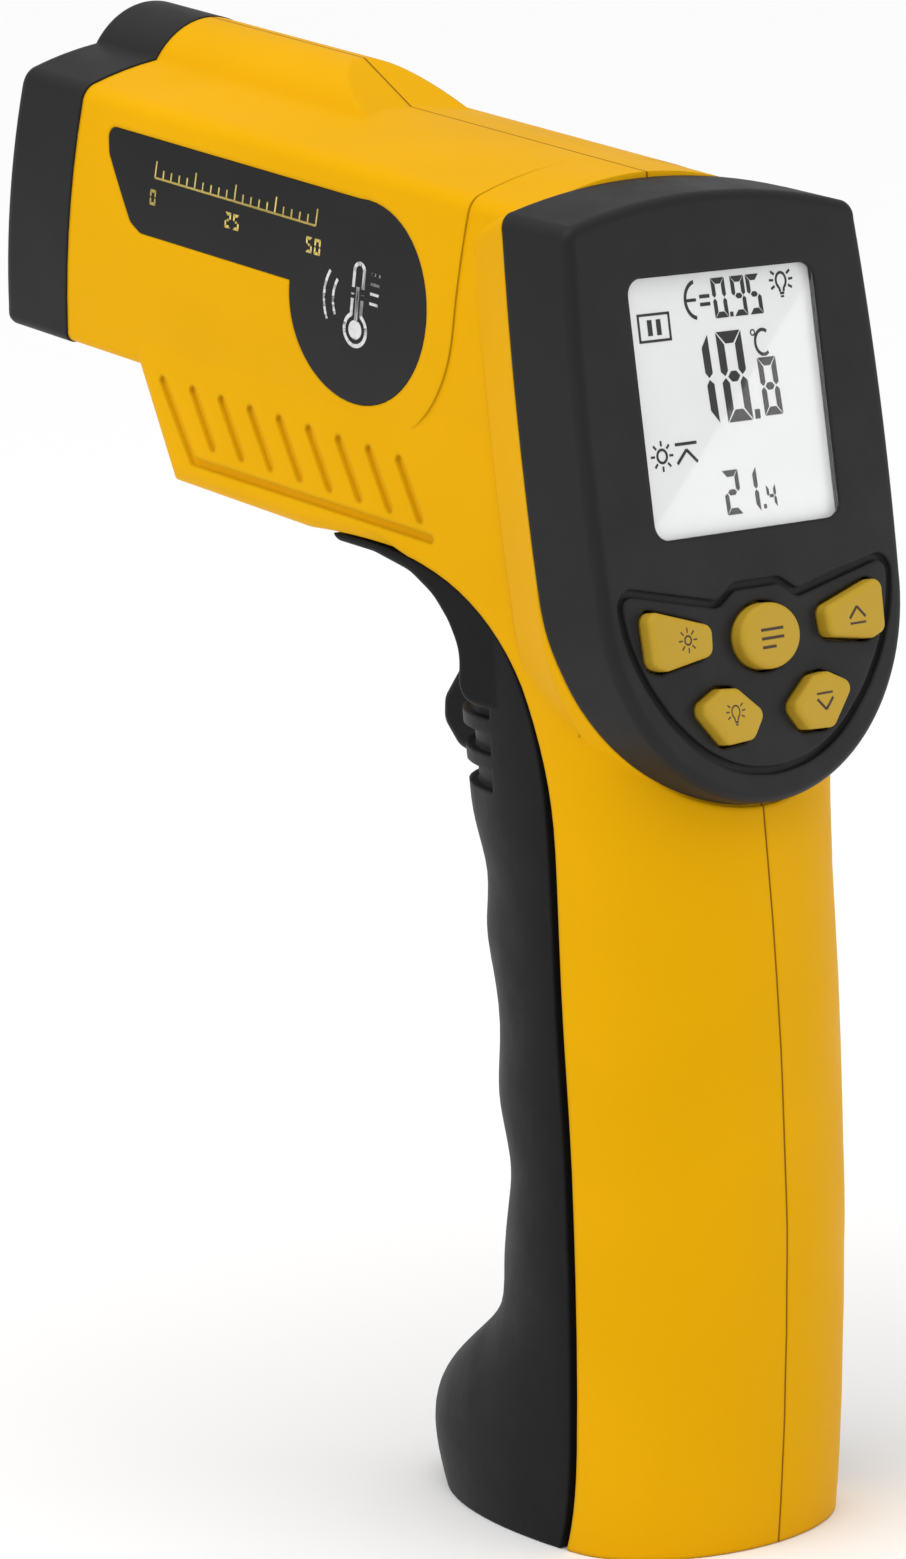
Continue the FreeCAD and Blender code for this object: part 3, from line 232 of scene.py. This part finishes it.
# ------------------------------------------------------------------ materials
YELLOW = (0.80, 0.405, 0.0005)
SEAM_BROWN = (0.34, 0.13, 0.0)
SEAM_HALF_WIDTH = 0.00016
CHARCOAL = (0.0165, 0.0165, 0.0172)
SOFT_BLACK = (0.0095, 0.0095, 0.0100)
KEY_AMBER = (0.53, 0.335, 0.026)
WINDOW_IOR, WINDOW_ROUGHNESS = 1.38, 0.02
BATTERY_BAND_FROM = 0.68


def shell_yellow():
    s = moulded("shell_yellow", YELLOW, 0.48, 0.0009, grain=0.8, wear=0.06, specular=0.04)
    seam(s, SEAM_BROWN, SEAM_HALF_WIDTH)
    return s.material


def rubber(name, colour, roughness, edge_radius):
    """Soft-touch elastomer: matt, with a faint sheen and handling smudges."""
    s = moulded(name, colour, roughness, edge_radius, grain=1.3, wear=0.10, specular=0.08)
    s.set(Sheen_Weight=0.02, Sheen_Roughness=0.4)
    return s.material


def key_amber():
    s = moulded("key_amber", KEY_AMBER, 0.42, 0.0004, grain=0.6, wear=0.10, specular=0.16)
    s.set(Subsurface_Weight=0.05, Subsurface_Radius=(0.002, 0.001, 0.0003), Subsurface_Scale=0.3)
    return s.material


def label_film():
    """Printed polyester film: smooth charcoal ink with a satin top coat."""
    s = Shader("label_film")
    tone = s.spread(s.noise(60.0, 3.0), 0.0, 1.0)
    s.link(s.mix(tone, (0.012, 0.012, 0.0125), (0.015, 0.015, 0.0155)), s.surface.inputs["Base Color"])
    s.link(s.spread(s.noise(240.0, 4.0), 0.34, 0.44), s.surface.inputs["Roughness"])
    s.link(s.bump(s.noise(3800.0, 2.0), 0.08, 0.00004, s.soft_edges(0.0002)),
           s.surface.inputs["Normal"])
    s.set(Specular_IOR_Level=0.17)
    return s.material


def ink(name, colour, roughness=0.45):
    """Printed ink, slightly patchy."""
    s = Shader(name)
    patchy = s.spread(s.noise(2600.0, 3.0), 0.0, 1.0)
    s.link(s.mix(patchy, lighter(colour, -0.10), lighter(colour, 0.05)), s.surface.inputs["Base Color"])
    s.link(s.spread(s.noise(900.0, 2.0), roughness - 0.06, roughness + 0.06),
           s.surface.inputs["Roughness"])
    return s.material


def clear_window():
    """Clear hard-coated acrylic: seen through unbent, with a sharp reflection off its outer face."""
    s = Shader("clear_window")
    # Transparent mixed with glossy in place of the Principled shader, which would bend what is behind.
    clear = s.add("ShaderNodeBsdfTransparent")
    shine = s.add("ShaderNodeBsdfGlossy")
    shine.inputs["Roughness"].default_value = WINDOW_ROUGHNESS
    fresnel = s.add("ShaderNodeFresnel")
    fresnel.inputs["IOR"].default_value = WINDOW_IOR
    inner_face = s.add("ShaderNodeNewGeometry").outputs["Backfacing"]
    outer_only = s.maths("MULTIPLY", fresnel.outputs["Fac"], s.maths("SUBTRACT", 1.0, inner_face))
    both = s.add("ShaderNodeMixShader")
    s.link(outer_only, both.inputs["Fac"])
    s.link(clear.outputs["BSDF"], both.inputs[1])
    s.link(shine.outputs["BSDF"], both.inputs[2])
    s.link(both.outputs["Shader"], s.tree.nodes["Material Output"].inputs["Surface"])
    return s.material


def lcd_grey_painted_glow():
    """Reflective liquid-crystal glass over its diffuser: pale grey with a faint cell pattern, and a
    faint painted glow of its own that lightens it.
    """
    s = Shader("lcd_grey_painted_glow")
    cloud = s.spread(s.noise(35.0, 3.0), 0.0, 1.0)
    fine = s.spread(s.noise(9000.0, 1.0), 0.0, 1.0)
    base = s.mix(cloud, (0.72, 0.73, 0.73), (0.76, 0.765, 0.76))
    s.link(s.mix(s.maths("MULTIPLY", fine, 0.25), base, (0.66, 0.67, 0.67)),
           s.surface.inputs["Base Color"])
    s.link(s.spread(s.noise(300.0, 2.0), 0.30, 0.42), s.surface.inputs["Roughness"])
    # Painted light: the glass glows faintly by itself to look brighter, though it is no lamp.
    s.set(Emission_Color=(0.95, 0.97, 1.0, 1.0), Emission_Strength=0.13)
    return s.material


def circuit_board():
    """Green solder mask over a woven laminate with raised copper runs."""
    s = Shader("circuit_board")
    runs = s.add("ShaderNodeTexBrick")
    runs.inputs["Scale"].default_value = 420.0
    runs.inputs["Mortar Size"].default_value = 0.03
    s.link(s.place, runs.inputs["Vector"])
    cloud = s.spread(s.noise(700.0, 2.0), 0.0, 1.0)
    mask = s.mix(cloud, (0.010, 0.085, 0.030), (0.014, 0.12, 0.045))
    s.link(s.mix(runs.outputs["Fac"], mask, (0.02, 0.19, 0.07)), s.surface.inputs["Base Color"])
    s.link(s.spread(s.noise(400.0, 2.0), 0.26, 0.36), s.surface.inputs["Roughness"])
    s.link(s.bump(runs.outputs["Fac"], 0.3, 0.00004), s.surface.inputs["Normal"])
    return s.material


def metal(name, colour, roughness, stretch=(1.0, 1.0, 1.0), scratches=0.25):
    """Metal with drawn or turned marks: the stretch sets which way they run."""
    s = Shader(name)
    marks = s.noise(1800.0, 4.0, 0.7, stretch)
    s.link(s.mix(s.spread(marks, 0.0, 1.0), lighter(colour, -0.18), lighter(colour, 0.08)),
           s.surface.inputs["Base Color"])
    s.link(s.spread(marks, roughness - 0.08, roughness + 0.10), s.surface.inputs["Roughness"])
    s.link(s.bump(marks, scratches, 0.00003, s.soft_edges(0.00015)), s.surface.inputs["Normal"])
    s.set(Metallic=1.0)
    return s.material


def infrared_glass(name, colour):
    """Dark coated lens, sharply reflecting."""
    s = Shader(name)
    coat = s.spread(s.noise(120.0, 2.0), 0.0, 1.0)
    s.link(s.mix(coat, lighter(colour, -0.15), lighter(colour, 0.10)), s.surface.inputs["Base Color"])
    s.link(s.spread(s.noise(500.0, 2.0), 0.04, 0.09), s.surface.inputs["Roughness"])
    s.set(IOR=2.2, Coat_Weight=0.6, Coat_Roughness=0.03)
    return s.material


def battery_wrap():
    """Printed metal jacket: dark body with a plain amber band round its top."""
    s = Shader("battery_wrap")
    low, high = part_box("battery")
    parts = s.add("ShaderNodeSeparateXYZ")
    s.link(s.place, parts.inputs["Vector"])
    edge = low.z + BATTERY_BAND_FROM * (high.z - low.z)
    band = s.spread(parts.outputs["Z"], 0.0, 1.0, edge, edge + 0.0002)
    tone = s.spread(s.noise(300.0, 3.0), 0.0, 1.0)
    body = s.mix(tone, (0.020, 0.024, 0.030), (0.030, 0.034, 0.042))
    s.link(s.mix(band, body, (0.55, 0.30, 0.06)), s.surface.inputs["Base Color"])
    s.link(s.spread(s.noise(900.0, 3.0), 0.24, 0.36), s.surface.inputs["Roughness"])
    s.set(Metallic=0.6)
    return s.material


MATERIALS = {
    "yellow": shell_yellow(),
    "black": moulded("shell_black", CHARCOAL, 0.48, 0.0006, 1.0, 0.14, 0.16).material,
    "grip": rubber("grip_black", SOFT_BLACK, 0.52, 0.0006),
    "trigger": rubber("trigger_black", SOFT_BLACK, 0.46, 0.0006),
    "key": key_amber(),
    "label": label_film(),
    "window": clear_window(),
    "lcd": lcd_grey_painted_glow(),
    "diffuser": moulded("diffuser", (0.80, 0.80, 0.78), 0.35, 0.0002, 0.4, 0.0).material,
    "inner": moulded("inner_black", (0.018, 0.018, 0.020), 0.5, 0.0003, 1.0, 0.06).material,
    "board": circuit_board(),
    "chip": moulded("chip_black", (0.022, 0.022, 0.024), 0.5, 0.0001, 1.6, 0.10).material,
    "steel": metal("zinc_steel", (0.60, 0.61, 0.62), 0.30),
    "wire": metal("spring_wire", (0.52, 0.52, 0.54), 0.24, (1.0, 1.0, 6.0)),
    "brass": metal("brass", (0.72, 0.50, 0.20), 0.28, (1.0, 6.0, 6.0)),
    "anodised": metal("anodised_black", (0.045, 0.045, 0.048), 0.42, (1.0, 8.0, 8.0)),
    "lens": infrared_glass("infrared_lens", (0.06, 0.07, 0.09)),
    "laser": infrared_glass("laser_lens", (0.20, 0.015, 0.015)),
    "battery": battery_wrap(),
    "foam": rubber("foam", (0.05, 0.05, 0.052), 0.8, 0.0003),
    "lead": rubber("lead_red", (0.36, 0.02, 0.02), 0.42, 0.0001),
    "silicone": rubber("silicone_grey", (0.30, 0.30, 0.31), 0.5, 0.0002),
}
NODE_MATERIALS = {
    "yellow": ["left_shell", "right_shell"],
    "black": ["nose_cap", "display_bezel"],
    "grip": ["battery_door"],
    "trigger": ["trigger"],
    "key": ["laser_key", "up_key", "mode_key", "light_key", "down_key"],
    "label": ["left_label", "right_label"],
    "window": ["display_window", "laser_window"],
    "lcd": ["display_glass"],
    "diffuser": ["display_backlight"],
    "inner": ["battery_frame", "laser_holder", "display_support", "battery_snap", "window_gasket"],
    "board": ["main_board", "sensor_board", "trigger_board"],
    "chip": ["board_components", "key_switches", "buzzer", "trigger_switch"],
    "steel": ["shell_screws", "board_screws", "door_hinge_pin", "thermopile_sensor"],
    "wire": ["trigger_spring"],
    "brass": ["laser_module"],
    "anodised": ["lens_tube", "lens_ring"],
    "lens": ["infrared_lens"],
    "laser": ["laser_lens"],
    "battery": ["battery"],
    "foam": ["battery_pad"],
    "lead": ["battery_leads"],
    "silicone": ["keypad_mat", "display_contact_strip"],
}


def paint(obj, material):
    obj.data.materials.clear()
    obj.data.materials.append(material)


for key, names in NODE_MATERIALS.items():
    for node_name in names:
        paint(nodes[node_name], MATERIALS[key])


# ------------------------------------------------------------------ flat printed marks
class Print:
    """Thin printed or engraved shapes on a plane, drawn in millimetres and built as one closed mesh."""

    def __init__(self):
        self.shapes = []

    def poly(self, points):
        self.shapes.append([Vector(p) for p in points])

    def rect(self, x, y, width, height):
        self.poly([(x - width / 2, y - height / 2), (x + width / 2, y - height / 2),
                   (x + width / 2, y + height / 2), (x - width / 2, y + height / 2)])

    def line(self, start, end, width):
        a, b = Vector(start), Vector(end)
        side = Vector((-(b - a).y, (b - a).x)).normalized() * width / 2
        self.poly([a - side, b - side, b + side, a + side])

    def arc(self, x, y, radius, width, start=0.0, end=360.0, steps=28, squash=1.0):
        """Curved band round a centre, in short pieces; squash scales its height."""
        def at(angle, r):
            return Vector((x + r * math.cos(angle), y + r * squash * math.sin(angle)))
        for i in range(steps):
            a = math.radians(start + (end - start) * i / steps)
            b = math.radians(start + (end - start) * (i + 1) / steps)
            self.poly([at(a, radius - width / 2), at(a, radius + width / 2),
                       at(b, radius + width / 2), at(b, radius - width / 2)])

    def disc(self, x, y, radius, sides=24):
        self.poly([(x + radius * math.cos(2 * math.pi * i / sides),
                    y + radius * math.sin(2 * math.pi * i / sides)) for i in range(sides)])

    def rays(self, x, y, inner, outer, width, count, start=0.0):
        for i in range(count):
            a = math.radians(start + 360.0 * i / count)
            c, s = math.cos(a), math.sin(a)
            self.line((x + inner * c, y + inner * s), (x + outer * c, y + outer * s), width)

    SEGMENTS = {"0": "abcdef", "1": "bc", "2": "abged", "4": "fgbc", "5": "afgcd", "8": "abcdefg",
                "9": "abcdfg"}

    # A figure's slant, and as shares of its stroke: the gaps, the corner cuts, half the middle bar.
    LEAN, GAP_SHARE, CORNER_SHARE, MIDDLE_SHARE = 0.05, 0.10, 1.25, 0.55

    def digit(self, char, x, y, width, height, stroke):
        """Seven-segment figure centred on (x, y), slightly slanted, with gaps between the segments."""
        w, h, gap = width / 2, height / 2, stroke * self.GAP_SHARE
        t, m = stroke * self.CORNER_SHARE, stroke * self.MIDDLE_SHARE
        forms = {
            "a": [(-w + gap, h), (w - gap, h), (w - t, h - t), (-w + t, h - t)],
            "d": [(-w + gap, -h), (-w + t, -h + t), (w - t, -h + t), (w - gap, -h)],
            "g": [(-w + t * 0.75, 0), (-w + t * 1.15, m), (w - t * 1.15, m), (w - t * 0.75, 0),
                  (w - t * 1.15, -m), (-w + t * 1.15, -m)],
            "f": [(-w, h - gap), (-w + stroke, h - t - gap), (-w + stroke, m + gap), (-w + m, gap),
                  (-w, m)],
            "b": [(w, h - gap), (w, m), (w - m, gap), (w - stroke, m + gap),
                  (w - stroke, h - t - gap)],
            "e": [(-w, -h + gap), (-w, -m), (-w + m, -gap), (-w + stroke, -m - gap),
                  (-w + stroke, -h + t + gap)],
            "c": [(w, -h + gap), (w - stroke, -h + t + gap), (w - stroke, -m - gap),
                  (w - m, -gap), (w, -m)],
        }
        for name in self.SEGMENTS[char]:
            self.poly([(x + px - self.LEAN * py, y + py) for px, py in forms[name]])

    def build(self, name, origin, right, up, thickness, material, body, slot):
        """Closed slabs standing on the plane through origin, spanned by right and up."""
        mesh = bpy.data.meshes.new(name)
        bm = bmesh.new()
        out = right.cross(up).normalized() * thickness
        for shape in self.shapes:
            base = [origin + right * p.x * MM + up * p.y * MM for p in shape]
            lower = [bm.verts.new(p) for p in base]
            upper = [bm.verts.new(p + out) for p in base]
            bm.faces.new(lower[::-1])
            bm.faces.new(upper)
            for i in range(len(base)):
                j = (i + 1) % len(base)
                bm.faces.new((lower[i], lower[j], upper[j], upper[i]))
        bmesh.ops.recalc_face_normals(bm, faces=bm.faces)
        bm.to_mesh(mesh)
        bm.free()
        obj = bpy.data.objects.new(name, mesh)
        bpy.context.scene.collection.objects.link(obj)
        paint(obj, material)
        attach(obj, body)
        return obj


# ------------------------------------------------------------------ display plane
press_axis = next(j["axis"] for j in frame["joints"] if j["name"] == "mode_press")
DISPLAY_OUT = -Vector(press_axis).normalized()
DISPLAY_RIGHT = Vector((0.0, 1.0, 0.0))
DISPLAY_UP = DISPLAY_OUT.cross(DISPLAY_RIGHT)
window_middle = middle("display_window")
LCD_INK_THICKNESS = 0.00005


def front_of(node, out):
    """Furthest distance of a node's mesh along a direction."""
    return max(v.co.dot(out) for v in nodes[node].data.vertices)


def display_origin(node, lift=0.0):
    """Point on the node's front face, straight in front of the window's centre."""
    reach = front_of(node, DISPLAY_OUT) - window_middle.dot(DISPLAY_OUT)
    return window_middle + DISPLAY_OUT * (reach + lift)


def bulb(p, x, y, size, stroke):
    """Lamp icon: a round bulb with a cap and short rays each side."""
    p.arc(x, y + 0.25 * size, 0.42 * size, stroke, -60, 240, 20, 1.15)
    p.line((x - 0.20 * size, y - 0.16 * size), (x - 0.15 * size, y - 0.42 * size), stroke)
    p.line((x + 0.20 * size, y - 0.16 * size), (x + 0.15 * size, y - 0.42 * size), stroke)
    p.rect(x, y - 0.52 * size, 0.34 * size, 0.16 * size)
    p.rect(x, y - 0.72 * size, 0.26 * size, 0.12 * size)
    for side in (-1, 1):
        for angle in (-28, 4, 36):
            c, s = side * math.cos(math.radians(angle)), math.sin(math.radians(angle))
            p.line((x + 0.66 * size * c, y + 0.25 * size + 0.66 * size * s),
                   (x + 1.0 * size * c, y + 0.25 * size + 1.0 * size * s), stroke)


def display_marks():
    """Readings and icons of the display, in millimetres from its window's centre."""
    p = Print()
    # Emissivity sign and value.
    p.arc(-3.3, 11.8, 1.9, 0.40, 100, 260, 14, 1.1)
    p.line((-5.1, 11.8), (-3.5, 11.8), 0.36)
    for y in (12.2, 11.3):
        p.rect(-2.1, y - 0.1, 1.6, 0.42)
    for char, x in (("0", 0.3), ("9", 3.4), ("5", 5.9)):
        p.digit(char, x, 11.75, 2.15, 4.6, 0.56)
    p.rect(1.95, 9.75, 0.5, 0.55)
    # Lamp.
    bulb(p, 10.4, 12.5, 1.9, 0.28)
    # Hold mark: two bars in a frame.
    for x, width, height in ((-12.9, 0.3, 3.0), (-8.1, 0.3, 3.0), (-11.2, 0.7, 1.8), (-9.8, 0.7, 1.8)):
        p.rect(x, 9.2, width, height)
    for y in (10.7, 7.7):
        p.rect(-10.5, y, 5.1, 0.3)
    # Main reading with its unit.
    p.digit("1", -4.1, 2.7, 3.9, 10.2, 1.12)
    p.digit("8", 1.2, 2.7, 4.0, 10.4, 1.12)
    p.rect(4.25, -1.9, 0.8, 1.1)
    p.digit("8", 6.75, 1.1, 2.9, 6.7, 0.78)
    p.arc(4.9, 7.4, 0.33, 0.16, steps=12)
    p.arc(6.4, 6.2, 1.25, 0.34, 55, 305, 14, 1.15)
    # Aiming mark: a ring with rays.
    p.arc(-11.6, -5.3, 0.75, 0.3, steps=18)
    p.rays(-11.6, -5.3, 1.15, 1.75, 0.26, 8)
    # Highest-value mark: a chevron under a bar.
    p.line((-9.3, -6.4), (-7.7, -4.9), 0.36)
    p.line((-7.7, -4.9), (-6.1, -6.4), 0.36)
    p.rect(-7.7, -4.2, 3.4, 0.36)
    # Second reading.
    p.digit("2", -1.2, -10.4, 2.5, 5.1, 0.6)
    p.digit("1", 1.7, -10.4, 2.5, 5.1, 0.6)
    p.rect(3.8, -12.5, 0.42, 0.5)
    p.digit("4", 5.0, -11.4, 1.45, 2.6, 0.36)
    p.build("lcd_readings", display_origin("display_glass"), DISPLAY_RIGHT, DISPLAY_UP,
            LCD_INK_THICKNESS, ink("lcd_ink", (0.006, 0.006, 0.007), 0.6), "housing", "lcd")


KEY_INK_THICKNESS = 0.00002
# Share of its thickness by which the ink is sunk into the key.
KEY_INK_SUNK = 0.2


def key_marks():
    """One plain symbol on each key, in millimetres from its centre: rays, list, lamp, up and down."""
    brown = ink("key_ink", (0.055, 0.026, 0.010), 0.6)

    def place(p, node, dx=0.0):
        centre = middle(node) - window_middle
        x, y = centre.dot(DISPLAY_RIGHT) / MM + dx, centre.dot(DISPLAY_UP) / MM
        for shape in p.shapes:
            for point in shape:
                point.x += x
                point.y += y
        p.build(node + "_mark", display_origin(node, -KEY_INK_SUNK * KEY_INK_THICKNESS), DISPLAY_RIGHT,
                DISPLAY_UP, KEY_INK_THICKNESS, brown, node, "key_rubber")

    aim = Print()
    aim.arc(0, 0, 0.5, 0.22, steps=18)
    aim.rays(0, 0, 0.85, 1.45, 0.18, 8)
    place(aim, "laser_key", 0.6)
    menu = Print()
    for y, width in ((1.0, 3.6), (0.0, 3.6), (-1.0, 2.2)):
        menu.rect((width - 3.6) / 2, y, width, 0.34)
    place(menu, "mode_key")
    for node, turn in (("up_key", 1), ("down_key", -1)):
        arrow = Print()
        arrow.line((-1.3, -0.5 * turn), (0.0, 0.8 * turn), 0.34)
        arrow.line((0.0, 0.8 * turn), (1.3, -0.5 * turn), 0.34)
        arrow.line((-1.3, -1.1 * turn), (1.3, -1.1 * turn), 0.26)
        place(arrow, node)
    lamp = Print()
    bulb(lamp, 0, 0.3, 1.5, 0.17)
    place(lamp, "light_key")


# ------------------------------------------------------------------ side labels
lens_middle, sensor_middle = middle("infrared_lens"), middle("thermopile_sensor")
BARREL_BACK = Vector((sensor_middle.x - lens_middle.x, 0, sensor_middle.z - lens_middle.z)).normalized()
BARREL_UP = BARREL_BACK.cross(Vector((0, 1, 0)))
LABEL_INK_THICKNESS = 0.00003
# The print starts this far out from the middle plane and is then laid on the label, in metres.
LABEL_STANDOFF = 0.0215
# All below in millimetres. The scale keeps clear of the label's two ends.
SCALE_FRONT_MARGIN, SCALE_REAR_MARGIN = 9.5, 20.5
SCALE_LINE_DROP, FIGURE_DROP = 4.6, 7.0
TICKS, LONG_TICK_EVERY = 20, 5
LONG_TICK, SHORT_TICK, TICK_WIDTH = 2.0, 1.1, 0.26
FIGURE_WIDTH, FIGURE_HEIGHT, FIGURE_STROKE, FIGURE_PITCH = 1.1, 1.9, 0.3, 1.5
# Radius of the label's round end, on whose centre the thermometer sign stands.
ROUND_END = 12.0


def label_marks(side, name):
    """Generic print: a graduated scale on the arm, and a thermometer sign on the round end."""
    label = name + "_label"
    along = [v.co.dot(BARREL_BACK) for v in nodes[label].data.vertices]
    heights = [v.co.dot(BARREL_UP) for v in nodes[label].data.vertices]
    front, rear, top, low = min(along), max(along), max(heights), min(heights)
    right = BARREL_BACK * -side
    # Local x runs to the reader's right: back along the barrel on the left side, forward on the right.
    flip = 1 if side < 0 else -1
    origin = BARREL_BACK * front + BARREL_UP * top + Vector((0, side * LABEL_STANDOFF, 0))
    scale, sign = Print(), Print()
    span = (rear - front) / MM
    start, end = SCALE_FRONT_MARGIN, span - SCALE_REAR_MARGIN
    for i in range(TICKS + 1):
        x = flip * (start + (end - start) * i / TICKS)
        tall = SHORT_TICK if i % LONG_TICK_EVERY else LONG_TICK
        scale.line((x, -SCALE_LINE_DROP), (x, -SCALE_LINE_DROP + tall), TICK_WIDTH)
    scale.line((flip * start, -SCALE_LINE_DROP), (flip * end, -SCALE_LINE_DROP), TICK_WIDTH)
    for i, figures in enumerate(("0", "25", "50")):
        x = flip * (start + (end - start) * i / 2)
        for k, char in enumerate(figures):
            offset = (k - (len(figures) - 1) / 2) * FIGURE_PITCH
            scale.digit(char, x + offset, -FIGURE_DROP, FIGURE_WIDTH, FIGURE_HEIGHT, FIGURE_STROKE)
    # The sign, placed from the round end's centre: bulb, tube, marks beside it and two waves.
    cx, cy = flip * (span - ROUND_END), -(top - low) / MM + ROUND_END
    sign.arc(cx, cy - 3.2, 1.9, 0.5, 115, 425, 26)
    sign.disc(cx, cy - 3.2, 1.15)
    for dx in (-0.85, 0.85):
        sign.line((cx + dx, cy - 1.6), (cx + dx, cy + 3.8), 0.5)
    sign.arc(cx, cy + 3.8, 0.85, 0.5, 0, 180, 12)
    sign.rect(cx, cy - 0.3, 0.55, 4.4)
    for i in range(4):
        sign.rect(cx + 2.9, cy + 0.4 + 1.15 * i, 1.5, 0.34)
    for radius in (4.2, 5.8):
        sign.arc(cx, cy, radius, 0.42, 150, 210, 12)
    inks = ((scale, "scale", ink("print_gold", (0.80, 0.62, 0.16))),
            (sign, "sign", ink("print_white", (0.74, 0.74, 0.74))))
    for marks, kind, material in inks:
        obj = marks.build(f"{name}_label_{kind}", origin, right, BARREL_UP, LABEL_INK_THICKNESS,
                          material, "housing", "label_film")
        wrap = obj.modifiers.new("on_label", "SHRINKWRAP")
        wrap.target = nodes[label]
        wrap.wrap_method = "PROJECT"
        wrap.use_project_y = True
        wrap.use_negative_direction = True
        wrap.use_positive_direction = True
        wrap.offset = LABEL_INK_THICKNESS


display_marks()
key_marks()
for side, name in ((-1, "left"), (1, "right")):
    label_marks(side, name)


# ------------------------------------------------------------------ floor and light
FLOOR_SIZE, FLOOR_GAP = 60.0, 0.0001
WHITE, FLOOR_WHITE = (1.0, 1.0, 1.0, 1.0), (0.96, 0.96, 0.96, 1.0)
WORLD_STRENGTH = 0.56
# Large lamp left of the camera and above it: the shares of its direction, then metres and watts.
KEY_BACK, KEY_LEFT, KEY_UP = 0.55, 0.75, 0.75
KEY_DISTANCE, KEY_WIDTH, KEY_HEIGHT, KEY_POWER = 1.1, 0.8, 0.9, 2.2
SUN_FROM, SUN_STRENGTH, SUN_ANGLE = Vector((0.1, -0.2, 1.0)), 1.5, math.radians(60)
# As mirrored in the window, the card lies right of its edge and CARD_SLANT times as far down.
CARD_SIZE, CARD_DISTANCE, CARD_RADIANCE, CARD_SLANT = 0.16, 0.6, 3.2, 0.8


def make_floor():
    mesh = bpy.data.meshes.new("floor")
    h = FLOOR_SIZE / 2
    mesh.from_pydata([(-h, -h, 0), (h, -h, 0), (h, h, 0), (-h, h, 0)], [], [(0, 1, 2, 3)])
    floor = bpy.data.objects.new("floor", mesh)
    floor.location.z = cad_box[0].z - FLOOR_GAP
    bpy.context.scene.collection.objects.link(floor)
    s = Shader("floor")
    s.set(Base_Color=FLOOR_WHITE, Roughness=0.9, Specular_IOR_Level=0.1)
    paint(floor, s.material)


def softbox(name, direction, distance, width, height, power):
    """Area light that looks at the object from a direction."""
    centre = (cad_box[0] + cad_box[1]) / 2
    data = bpy.data.lights.new(name, "AREA")
    data.shape, data.size, data.size_y, data.energy = "RECTANGLE", width, height, power
    lamp = bpy.data.objects.new(name, data)
    bpy.context.scene.collection.objects.link(lamp)
    aim = Vector(direction).normalized()
    lamp.matrix_world = (Matrix.Translation(centre + aim * distance)
                         @ aim.to_track_quat("Z", "Y").to_matrix().to_4x4())


def sheen_card():
    """White card whose slanted edge mirrors across the display window, seen from the camera."""
    sight = (window_middle - CAMERA_PLACE).normalized()
    mirrored = sight - DISPLAY_OUT * 2 * sight.dot(DISPLAY_OUT)
    right = (DISPLAY_RIGHT - mirrored * DISPLAY_RIGHT.dot(mirrored)).normalized()
    inward = (right - mirrored.cross(right) * CARD_SLANT).normalized()
    along = mirrored.cross(inward)
    data = bpy.data.lights.new("sheen_card", "AREA")
    data.shape, data.size = "SQUARE", CARD_SIZE
    data.energy = CARD_RADIANCE * math.pi * CARD_SIZE ** 2
    lamp = bpy.data.objects.new("sheen_card", data)
    bpy.context.scene.collection.objects.link(lamp)
    # The card's middle lies half its size past the edge that crosses the mirrored line of sight.
    centre = window_middle + mirrored * CARD_DISTANCE + inward * CARD_SIZE / 2
    turn = Matrix((inward, along, mirrored)).transposed()
    lamp.matrix_world = Matrix.Translation(centre) @ turn.to_4x4()


def make_light():
    world = bpy.data.worlds.new("studio")
    bpy.context.scene.world = world
    world.use_nodes = True
    background = world.node_tree.nodes["Background"]
    background.inputs["Color"].default_value = WHITE
    background.inputs["Strength"].default_value = WORLD_STRENGTH
    softbox("key", CAMERA_BACK * KEY_BACK - CAMERA_RIGHT * KEY_LEFT + Vector((0, 0, KEY_UP)),
            KEY_DISTANCE, KEY_WIDTH, KEY_HEIGHT, KEY_POWER)
    sheen_card()
    sun = bpy.data.lights.new("overhead", "SUN")
    sun.energy, sun.angle = SUN_STRENGTH, SUN_ANGLE
    lamp = bpy.data.objects.new("overhead", sun)
    bpy.context.scene.collection.objects.link(lamp)
    lamp.matrix_world = SUN_FROM.to_track_quat("Z", "Y").to_matrix().to_4x4()


make_floor()
make_light()
bpy.context.scene.view_settings.view_transform = "Standard"
